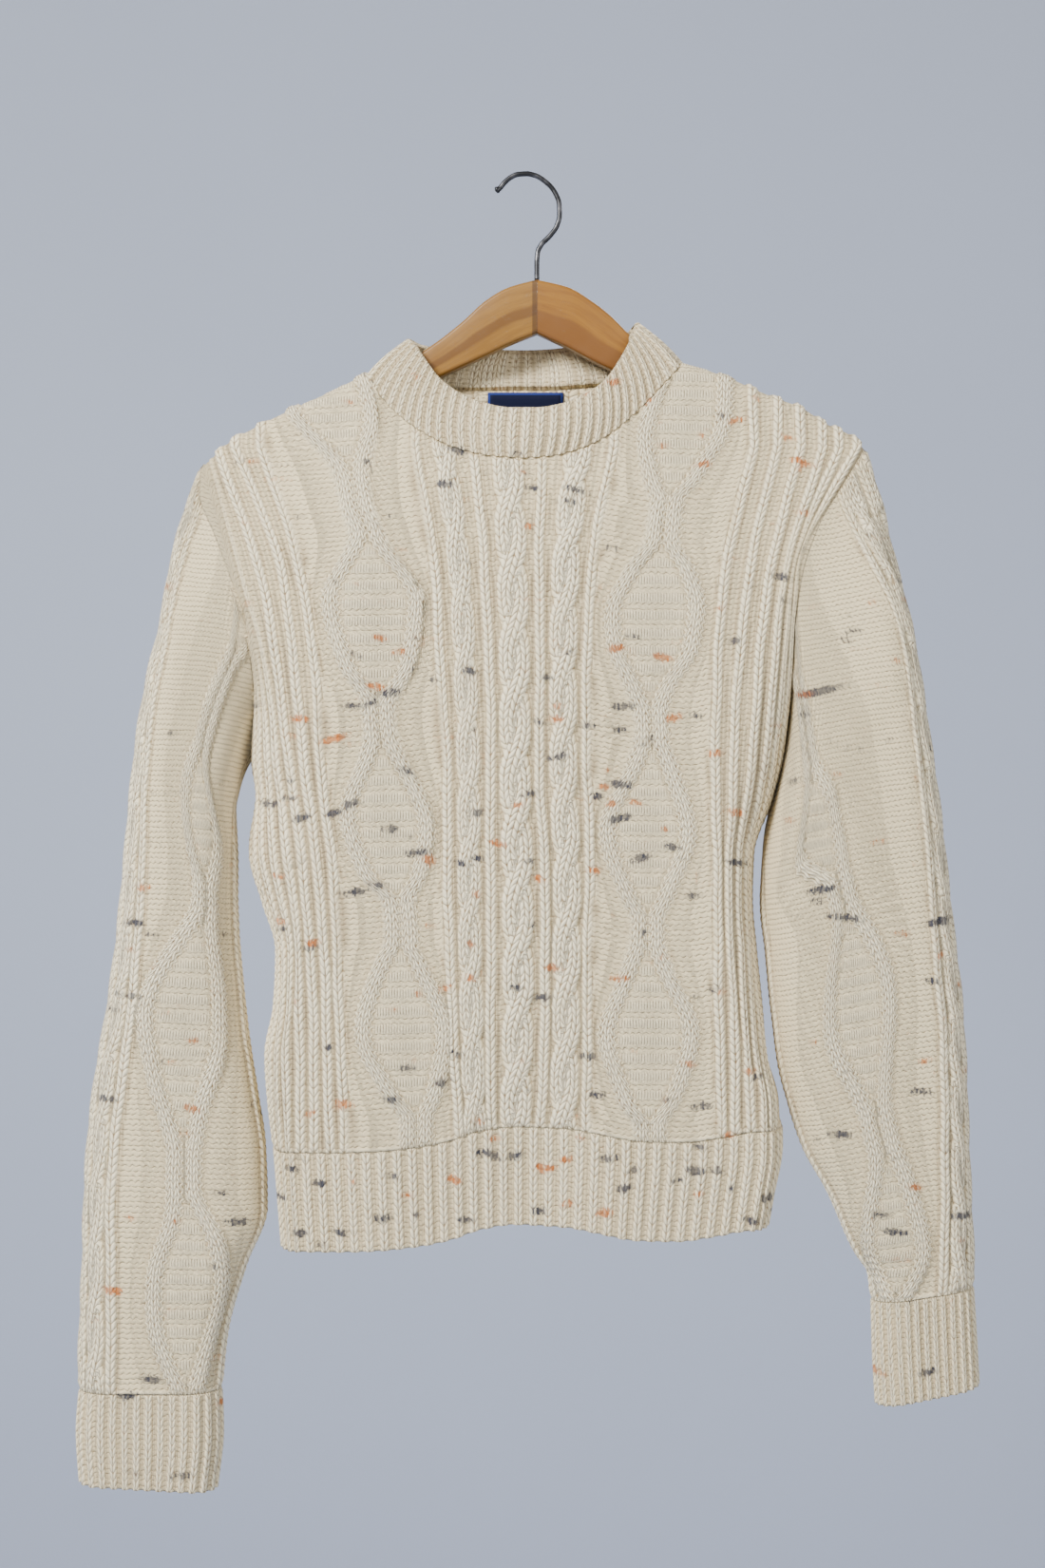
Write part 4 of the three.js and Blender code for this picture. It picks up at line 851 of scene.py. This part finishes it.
def sleeve(name, side, columns, rows):
    around = around_of(columns, rows, side == "right")
    down = np.linspace(0, 1, rows + 1)[:, None] * np.ones((1, columns))
    base, total = sleeve_base(side, around, down)
    run = run_of(base)
    place = np.where(around > 0.5, 2 - 2 * around, 2 * around)
    arc = 2 * total
    chart = Chart(place.shape)
    for k, along in enumerate(SLEEVE_RIBS):
        chart.rib(place * arc - along + wander(run, k), RIB_HALF, run)
    for along, half in SLEEVE_ROPES:
        chart.rope(place * arc - along, half, run)
    chart.rib((1 - place) * arc - UNDERARM_RIB + wander(run, 9), RIB_HALF, run)
    table = SLEEVE_DIAMONDS[side]
    middle = read(table, "middle", down, "down")
    spread = np.maximum(read(table, "spread", down, "down"), TRAVEL_HALF * 0.95)
    off = (place - middle) * arc
    for way in (-1, 1):
        chart.travel(off - way * spread + wander(run, way + 5, 0.9), run)
    chart.ladder(smooth(0, 2, spread - TRAVEL_HALF * 0.8 - np.abs(off)), run)
    calm = smooth(0.0, 0.12, down) * np.ones_like(place)
    near_arm = smooth(0.75, 0.9, place) * smooth(0.4, 0.2, down)
    chart.high = fade_edges(chart.high, base, True) * blend(0.6, 1, calm) * (1 - near_arm)
    chart.high = ease_join(chart.high, -run)
    facts = facts_of(chart, base, run, place * arc, 51 if side == "left" else 61)
    hidden = flecks([], base, 71, True)
    behind = around > 0.5
    facts["navy"] = np.where(behind, hidden, facts["navy"])
    facts["rust"] = np.where(behind, flecks([], base, 72, True) * 0.6, facts["rust"])
    return shell(name, base, chart.high, facts, wraps=True, inset=0.2)


def cuff(name, side, columns, rows):
    around = around_of(columns, rows, side == "right")
    down = blend(CUFF_GAP / CUFF_LENGTH, 1, np.linspace(0, 1, rows + 1)[:, None]) * np.ones((1, columns))
    base, _ = section_point(CUFFS[side], around, down)
    return ribbed(name, base, around * CUFF_RIBS, True, 81 if side == "left" else 91)


def length_shares(table):
    names = [key for key in table]
    points = np.array([table[key] for key in names], float)
    length = np.concatenate([[0], np.cumsum(np.linalg.norm(np.diff(points, axis=1), axis=0))])
    return dict(table, share=length / length[-1])


def neckline_point(around):
    back = around > BAND_SPLIT
    share = np.where(back, (1 - around) / (1 - BAND_SPLIT), around / BAND_SPLIT)
    front_rows, back_rows = length_shares(FRONT_NECK), length_shares(BACK_NECK)
    places = []
    for rows, behind in ((front_rows, False), (back_rows, True)):
        x = read(rows, "x", share, "share")
        places.append(body_point(x, read(rows, "z", share, "share"), behind))
    return np.where(back[..., None], places[1], places[0])


def band_edge(around):
    front, back = length_shares(BAND_FRONT), length_shares(BAND_BACK)
    first = around / BAND_SPLIT
    first = first - BAND_LEAD * np.sin(2 * math.pi * np.clip(first, 0, 1))
    second = (around - BAND_SPLIT) / (1 - BAND_SPLIT)
    ahead = np.stack([read(front, axis, first, "share") for axis in "xyz"], -1)
    behind = np.stack([read(back, axis, second, "share") for axis in "xyz"], -1)
    return np.where((around <= BAND_SPLIT)[..., None], ahead, behind)


def neckband(name, columns, rows):
    """Ribbed ring from its upper edge down to the neckline."""
    around = around_of(columns, rows)
    v = np.linspace(0, 1, rows + 1)[:, None]
    seam = neckline_point(around)
    edge = band_edge(around)
    middle = np.stack([np.full(around.shape, NECK_MIDDLE_X), np.zeros(around.shape), seam[..., 2]], -1)
    away = seam - middle
    away = away / np.linalg.norm(away, axis=-1, keepdims=True)
    base = seam + (edge - seam) * (1 - v)[..., None]
    base = base + away * (BAND_BULGE * np.sin(math.pi * v))[..., None]
    return ribbed(name, base, around * BAND_RIBS, True, 101, height=2.0, thick=BAND_WALL, join=False)


class Shade:
    """A material under construction, with short calls for its nodes."""

    def __init__(self, name):
        self.material = bpy.data.materials.new(name)
        self.material.use_nodes = True
        self.tree = self.material.node_tree
        self.shader = self.tree.nodes["Principled BSDF"]

    def put(self, socket, value):
        if isinstance(value, bpy.types.NodeSocket):
            self.tree.links.new(value, socket)
        else:
            socket.default_value = value

    def node(self, kind, out=0, settings=None, **inputs):
        node = self.tree.nodes.new("ShaderNode" + kind)
        for key, value in (settings or {}).items():
            setattr(node, key, value)
        for key, value in inputs.items():
            place = int(key[1:]) if key[0] == "i" and key[1:].isdigit() else key.replace("_", " ")
            self.put(node.inputs[place], value)
        return node.outputs[out]

    def math(self, operation, *values, clamp=False):
        inputs = {f"i{k}": value for k, value in enumerate(values)}
        return self.node("Math", settings={"operation": operation, "use_clamp": clamp}, **inputs)

    def add(self, a, b):
        return self.math("ADD", a, b)

    def times(self, a, b):
        return self.math("MULTIPLY", a, b)

    def sine(self, a, turns=1.0):
        """Sine of a, counted in whole turns."""
        return self.math("SINE", self.times(a, 2 * math.pi * turns))

    def lobes(self, a, power):
        """A rounded lobe for each unit of a, broader where power is lower."""
        return self.math("POWER", self.math("ABSOLUTE", self.sine(a, 0.5)), power)

    def fact(self, name):
        return self.node("Attribute", out=2, settings={"attribute_name": name})

    def step(self, value, low, high):
        settings = {"interpolation_type": "SMOOTHSTEP"}
        return self.node("MapRange", settings=settings, i0=value, i1=low, i2=high, i3=0.0, i4=1.0)

    def noise(self, scale, detail=2.0, vector=None, rough=0.5):
        vector = vector or self.node("TexCoord", out=3)
        return self.node("TexNoise", Vector=vector, Scale=scale, Detail=detail, Roughness=rough)

    def stretched(self, x, y, z):
        """Object coordinates scaled on each axis, for grain and fibres that run one way."""
        place = self.node("TexCoord", out=3)
        return self.node("Mapping", Vector=place, Scale=(x, y, z))

    def vector(self, x, y, z=0.0):
        return self.node("CombineXYZ", i0=x, i1=y, i2=z)

    def mix(self, share, a, b):
        node = self.tree.nodes.new("ShaderNodeMix")
        node.data_type = "RGBA"
        self.put(node.inputs[0], share)
        for socket, value in ((node.inputs[6], a), (node.inputs[7], b)):
            self.put(socket, (*value, 1.0) if isinstance(value, tuple) else value)
        return node.outputs[2]

    def blend(self, share, a, b):
        node = self.tree.nodes.new("ShaderNodeMix")
        self.put(node.inputs[0], share)
        self.put(node.inputs[2], a)
        self.put(node.inputs[3], b)
        return node.outputs[0]

    def finish(self, color, rough, height=None, depth=0.001, **more):
        self.put(self.shader.inputs["Base Color"], color if not isinstance(color, tuple) else (*color, 1.0))
        self.put(self.shader.inputs["Roughness"], rough)
        for key, value in more.items():
            self.put(self.shader.inputs[key.replace("_", " ")], value)
        if height is not None:
            bump = self.node("Bump", Height=height, Distance=depth, Strength=1.0)
            self.tree.links.new(bump, self.shader.inputs["Normal"])
        return self.material


# Wool colours: WOOL_MIDDLE is the yarn's own cream; the highlight colour, the gap shade colour and the
# groove shade colour paint light and shade into it
WOOL_PAINTED_HIGHLIGHT = (0.97, 0.87, 0.62)
WOOL_MIDDLE = (0.79, 0.665, 0.41)
WOOL_PAINTED_GAP_SHADE = (0.20, 0.115, 0.035)
WOOL_PAINTED_GROOVE_SHADE = (0.13, 0.065, 0.018)
WOOL_STAIN = (0.72, 0.58, 0.36)
WOOL_WARM = (0.66, 0.52, 0.32)
NAVY_INK = (0.004, 0.009, 0.035)
RUST_INK = (0.50, 0.13, 0.008)


def wool(name, warm=0.0):
    """Loosely spun aran wool: V stitches, purl ground and ladder bars, from the facts of each point."""
    s = Shade(name)
    leg, run, side = s.fact("leg"), s.fact("run"), s.fact("side")
    vee, bars, high = s.fact("vee"), s.fact("bars"), s.fact("high")
    drift = s.times(s.add(s.noise(150.0, 1.0), -0.5), 0.5)
    row = s.add(s.times(run, 1 / ROW), drift)
    half = s.math("ABSOLUTE", s.add(s.times(s.math("FRACT", s.times(leg, 0.5)), 2.0), -1.0))
    phase = s.add(row, s.times(half, 0.8))
    stitch = s.lobes(phase, 0.75)
    round_leg = s.lobes(half, 0.7)
    knit = s.times(round_leg, s.add(0.12, s.times(stitch, 0.88)))
    across = s.add(s.times(side, 1 / PURL_STITCH), s.times(drift, 1.4))
    purl_row = s.add(s.add(s.times(run, 1 / FINE_ROW), drift), s.times(s.sine(across), 0.11))
    ridge = s.lobes(purl_row, 0.45)
    dash = s.sine(s.add(across, s.times(s.math("FLOOR", purl_row), 0.37)))
    valley = s.times(s.math("SUBTRACT", 1.0, ridge), s.add(0.8, s.times(dash, 0.55)))
    purl = s.math("SUBTRACT", 1.0, valley)
    bar = s.add(s.times(side, 1 / BAR_STEP), drift)
    upright = s.lobes(bar, 0.6)
    ground = s.blend(bars, purl, upright)
    form = s.blend(vee, ground, knit)
    ply = s.sine(s.add(s.times(phase, 3.0), s.times(half, 2.4)))
    fuzz = s.noise(1300.0, 3.0, rough=0.7)
    hair = s.noise(380.0, 3.0, rough=0.65)
    fine = s.add(s.times(ply, 0.06), s.add(s.times(fuzz, 0.4), s.times(hair, 0.6)))
    height = s.add(s.times(form, s.blend(vee, 0.9, 1.2)), fine)
    level = s.add(form, s.times(s.add(hair, -0.5), 0.8))
    # Painted shade: where the stitch form is low, in the gaps between legs and purl rows, the colour goes
    # to a dark brown
    light = s.step(level, s.blend(vee, 0.0, -0.12), s.blend(vee, 0.8, 0.66))
    # Painted highlight: raised stitches get a lighter copy of the wool colour than the ground
    color = s.mix(light, WOOL_PAINTED_GAP_SHADE, s.mix(s.step(high, 0.0, 0.75), WOOL_MIDDLE, WOOL_PAINTED_HIGHLIGHT))
    # Painted shade: the grooves beside ribs, ropes and cables darken to a deep brown
    groove_shade = s.times(s.fact("deep"), s.blend(hair, 0.45, 1.0))
    color = s.mix(s.times(groove_shade, 0.8), color, WOOL_PAINTED_GROOVE_SHADE)
    tone = s.noise(28.0, 3.0)
    color = s.mix(s.times(s.step(tone, 0.35, 0.75), 0.18), color, WOOL_STAIN)
    if warm:
        color = s.mix(warm, color, WOOL_WARM)
    strand = s.math("FLOOR", s.add(s.times(side, 1 / STRAND), s.times(hair, 1.5)))
    cell = s.vector(strand, s.math("FLOOR", phase))
    lot = s.node("TexWhiteNoise", settings={"noise_dimensions": "2D"}, Vector=cell)
    patch = s.noise(1.0, 2.0, vector=s.stretched(34.0, 34.0, 120.0), rough=0.6)
    for ink, key, floor, faint in ((NAVY_INK, "navy", 0.60, 0.30), (RUST_INK, "rust", 0.63, 0.34)):
        place = s.fact(key)
        strong = s.step(s.add(s.times(place, s.blend(fuzz, 1.4, 2.6)), s.times(lot, -0.95)), 0.0, 0.4)
        lot = s.math("FRACT", s.times(lot, 7.31))
        halo = s.times(s.step(place, 0.03, 0.4), 0.3)
        strong = s.math("MAXIMUM", s.times(strong, s.blend(lot, 0.72, 1.0)), halo)
        spread = patch if key == "navy" else s.math("SUBTRACT", 1.0, patch)
        soft = s.times(s.step(spread, floor, floor + 0.14), s.times(s.step(lot, 0.45, 0.9), faint))
        share = s.math("MAXIMUM", strong, soft)
        color = s.mix(s.times(share, 0.97), color, ink)
    return s.finish(color, 0.92, height, 0.001, Sheen_Weight=0.12, Sheen_Roughness=0.6)


def wood(name, light, dark, band, deep, rough=0.32):
    """Varnished wood: grain along the arm, with darker heartwood over the share of its height in band."""
    s = Shade(name)
    along, height = s.fact("side"), s.fact("run")
    wave = s.times(s.noise(22.0, 2.0), 0.22)
    level = s.add(height, wave)
    heart = s.times(s.step(level, band[0], band[0] + 0.07), s.step(level, band[1] + 0.07, band[1]))
    grain = s.noise(1.0, 5.0, vector=s.vector(s.times(along, 0.02), s.times(level, 9.0)), rough=0.6)
    fine = s.noise(1.0, 4.0, vector=s.vector(s.times(along, 0.12), s.times(height, 60.0)), rough=0.7)
    color = s.mix(s.step(grain, 0.35, 0.65), dark, light)
    color = s.mix(s.times(heart, s.add(0.5, s.times(grain, 0.5))), color, deep)
    color = s.mix(s.times(s.step(fine, 0.48, 0.7), 0.3), color, deep)
    color = s.mix(s.times(s.step(along, 2.2, 1.5), 0.75), color, (0.06, 0.025, 0.006))
    worn = s.noise(90.0, 3.0)
    pores = s.times(s.step(fine, 0.6, 0.72), -0.05)
    return s.finish(color, s.blend(worn, rough, rough + 0.15), pores, 0.001, Coat_Weight=0.3)


def steel(name):
    s = Shade(name)
    wear = s.noise(160.0, 4.0)
    lines = s.noise(1.0, 3.0, vector=s.stretched(1400.0, 1400.0, 160.0))
    color = s.mix(s.step(wear, 0.4, 0.7), (0.045, 0.046, 0.05), (0.13, 0.13, 0.14))
    return s.finish(color, s.blend(lines, 0.28, 0.5), s.times(lines, 0.03), 0.001, Metallic=1.0)


def label_cloth(name):
    """A woven satin label, plain blue with a pale border and no lettering."""
    s = Shade(name)
    x, z = s.fact("side"), s.fact("run")
    inside = s.times(s.step(x, 0.030, 0.036), s.step(z, 0.055, 0.07))
    weave = s.times(s.sine(s.times(x, 60.0)), s.sine(s.times(z, 26.0)))
    color = s.mix(inside, (0.02, 0.035, 0.17), (0.004, 0.006, 0.022))
    color = s.mix(s.times(s.add(weave, 1.0), 0.12), color, (0.01, 0.015, 0.06))
    return s.finish(color, 0.85, s.times(weave, 0.06), 0.001, Specular_IOR_Level=0.15)


def plain(name, color, rough=0.9):
    s = Shade(name)
    tone = s.noise(3.0, 4.0)
    darker = tuple(c * 0.96 for c in color)
    return s.finish(s.mix(tone, darker, color), rough, s.noise(300.0, 3.0), 0.0002)


def label(name, columns=60, rows=26, thick=0.9):
    u = np.linspace(0, 1, columns + 1)[None, :] * np.ones((rows + 1, 1))
    v = np.linspace(0, 1, rows + 1)[:, None] * np.ones((1, columns + 1))
    across = blend(LABEL["right"], LABEL["left"], u)
    base = body_point(across, blend(LABEL["top"], LABEL["bottom"], v), True)
    base[..., 1] -= WALL + SEAM_GAP
    facts = {"side": 0.5 - np.abs(u - 0.5), "run": 0.5 - np.abs(v - 0.5)}
    return shell(name, base, np.zeros(u.shape), facts, thick=thick)


def tube_faces(rings, sides):
    faces = []
    for k in range(rings - 1):
        for i in range(sides):
            a, b = k * sides + i, k * sides + (i + 1) % sides
            faces.append((a, b, b + sides, a + sides))
    faces.append(tuple(reversed(range(sides))))
    faces.append(tuple(range((rings - 1) * sides, rings * sides)))
    return faces


def hanger_arm(name, table, rings=90, corner=6):
    """A flat arm with rounded edges, carried along its top and bottom lines."""
    x = np.linspace(table["x"][0], table["x"][-1], rings)
    x = np.concatenate([x[:1], x[:1] + 0.1, x[1:-1], x[-1:] - 0.1, x[-1:]])
    rings = len(x)
    top, bottom = read(table, "top", x, "x"), read(table, "bottom", x, "x")
    high = (top - bottom) / 2
    radius = np.minimum(ARM_ROUND, high * 0.6)
    turn = np.linspace(0, math.pi / 2, corner)
    points = []
    for across, up, start in ((1, 1, 0), (-1, 1, 1), (-1, -1, 2), (1, -1, 3)):
        for angle in turn + start * math.pi / 2:
            y = across * (ARM_THICK / 2 - radius) + radius * math.cos(angle)
            z = (top + bottom) / 2 + up * (high - radius) + radius * math.sin(angle)
            points.append(np.stack([x, y, z], -1))
    grid = np.stack(points, 1)
    facts = {
        "side": np.abs(grid[..., 0]),
        "run": (grid[..., 2] - bottom[:, None]) / (top - bottom)[:, None],
    }
    faces = tube_faces(rings, grid.shape[1])
    return make_mesh(name, grid.reshape(-1, 3) * MM, faces, facts, len(faces) - 2)


def hanger_hook(name, rings=140, sides=20):
    """The wire along its smooth path, ending in a small ball."""
    length = length_shares(HOOK)
    place = np.linspace(0, 1, rings)
    path = np.stack([read(length, "x", place, "share"), read(length, "z", place, "share")], -1)
    way = np.gradient(path, axis=0)
    way /= np.linalg.norm(way, axis=1, keepdims=True)
    from_tip = place * WIRE_LENGTH
    ball = np.sqrt(np.clip(TIP_RADIUS**2 - (from_tip - TIP_RADIUS) ** 2, 0.0001, None))
    neck = np.maximum(ball, np.where(from_tip > WIRE_START, WIRE_RADIUS, 0))
    radius = np.where(from_tip < 2 * TIP_RADIUS, neck, WIRE_RADIUS)
    angle = np.arange(sides) / sides * 2 * math.pi
    out = radius[:, None] * np.cos(angle)
    grid = np.stack(
        [
            path[:, :1] + way[:, 1:] * out,
            radius[:, None] * np.sin(angle) * np.ones((rings, 1)),
            path[:, 1:] - way[:, :1] * out,
        ],
        -1,
    )
    faces = tube_faces(rings, sides)
    return make_mesh(name, grid.reshape(-1, 3) * MM, faces, {}, len(faces) - 2)


def dress(piece, material, node):
    piece.data.materials.append(material)
    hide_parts(node)
    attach(piece, "root")
    return piece


wool_main = wool("cream_wool")
wool_ribs = wool("cream_rib_wool", warm=0.07)
pale_wood = wood(
    "pale_varnished_wood",
    light=(0.25, 0.12, 0.018),
    dark=(0.20, 0.09, 0.012),
    band=(0.40, 0.60),
    deep=(0.11, 0.042, 0.006),
)
dark_wood = wood(
    "dark_varnished_wood",
    light=(0.255, 0.11, 0.012),
    dark=(0.20, 0.08, 0.009),
    band=(-0.1, 0.5),
    deep=(0.14, 0.05, 0.007),
)

# Node of the solid that each piece replaces: the piece, its material and its slot
BUILT = {
    "front_panel": (panel("front_knit", back=False, width=1.45, rows=320), wool_main, "wool"),
    "back_panel": (panel("back_knit", back=True, width=1.8, rows=260), wool_main, "wool"),
    "sleeve_left": (sleeve("left_sleeve_knit", "left", columns=190, rows=370), wool_main, "wool"),
    "sleeve_right": (sleeve("right_sleeve_knit", "right", columns=190, rows=370), wool_main, "wool"),
    "hem_front": (hem("front_hem_rib", back=False, columns=434, rows=40), wool_ribs, "rib_wool"),
    "hem_back": (hem("back_hem_rib", back=True, columns=372, rows=30), wool_ribs, "rib_wool"),
    "cuff_left": (cuff("left_cuff_rib", "left", columns=252, rows=44), wool_ribs, "rib_wool"),
    "cuff_right": (cuff("right_cuff_rib", "right", columns=252, rows=44), wool_ribs, "rib_wool"),
    "neckband": (neckband("neckband_rib", columns=588, rows=30), wool_ribs, "rib_wool"),
    "neck_label": (label("plain_neck_label"), label_cloth("label_satin"), "label"),
    "hanger_arm_left": (hanger_arm("left_arm_wood", ARM_LEFT), pale_wood, "pale_wood"),
    "hanger_arm_right": (hanger_arm("right_arm_wood", ARM_RIGHT), dark_wood, "dark_wood"),
    "hanger_hook": (hanger_hook("hook_wire"), steel("worn_steel"), "steel"),
}
for node, (piece, material, slot_name) in BUILT.items():
    dress(piece, material, node)


def area_light(name, place, aim, size, power, color=(1.0, 1.0, 1.0)):
    data = bpy.data.lights.new(name, "AREA")
    data.shape = "RECTANGLE"
    data.size, data.size_y = size
    data.energy = power
    data.color = color
    lamp = bpy.data.objects.new(name, data)
    lamp.location = place
    lamp.rotation_euler = (Vector(aim) - Vector(place)).to_track_quat("-Z", "Y").to_euler()
    bpy.context.scene.collection.objects.link(lamp)
    return lamp


def plane(name, corners, material):
    mesh = bpy.data.meshes.new(name)
    mesh.from_pydata(corners, [], [(0, 1, 2, 3)])
    piece = bpy.data.objects.new(name, mesh)
    mesh.materials.append(material)
    bpy.context.scene.collection.objects.link(piece)
    return piece


area_light("key", (-1.6, -1.9, 1.1), (0.0, 0.0, -0.55), (0.9, 0.9), 180.0, (1.0, 0.985, 0.95))
area_light("fill", (1.6, -1.8, 0.1), (0.0, 0.0, -0.45), (1.6, 1.6), 34.0, (1.0, 0.99, 0.97))
area_light("back", (0.8, 1.9, 0.8), (0.0, 0.0, -0.4), (1.6, 1.6), 26.0)
area_light("back_left", (-1.2, 1.8, -0.4), (0.0, 0.0, -0.4), (1.4, 1.4), 14.0)

world = bpy.data.worlds.new("soft_room")
world.use_nodes = True
world.node_tree.nodes["Background"].inputs[0].default_value = (0.90, 0.89, 0.87, 1.0)
world.node_tree.nodes["Background"].inputs[1].default_value = 0.42
bpy.context.scene.world = world

pale = plain("pale_floor", (0.54, 0.60, 0.74))
plane("floor", [(-6, -6, -2.0), (6, -6, -2.0), (6, 6, -2.0), (-6, 6, -2.0)], pale)
plane("backdrop", [(-6, 2.75, -2.0), (6, 2.75, -2.0), (6, 2.75, 4.0), (-6, 2.75, 4.0)], pale)

camera_data = bpy.data.cameras.new("camera")
camera_data.lens = 49.5
camera_data.sensor_width = 36.0
camera = bpy.data.objects.new("camera", camera_data)
camera.location = (-0.0086, -1.5, -0.4217)
camera.rotation_euler = (math.pi / 2, 0.0, 0.0)
bpy.context.scene.collection.objects.link(camera)
bpy.context.scene.camera = camera
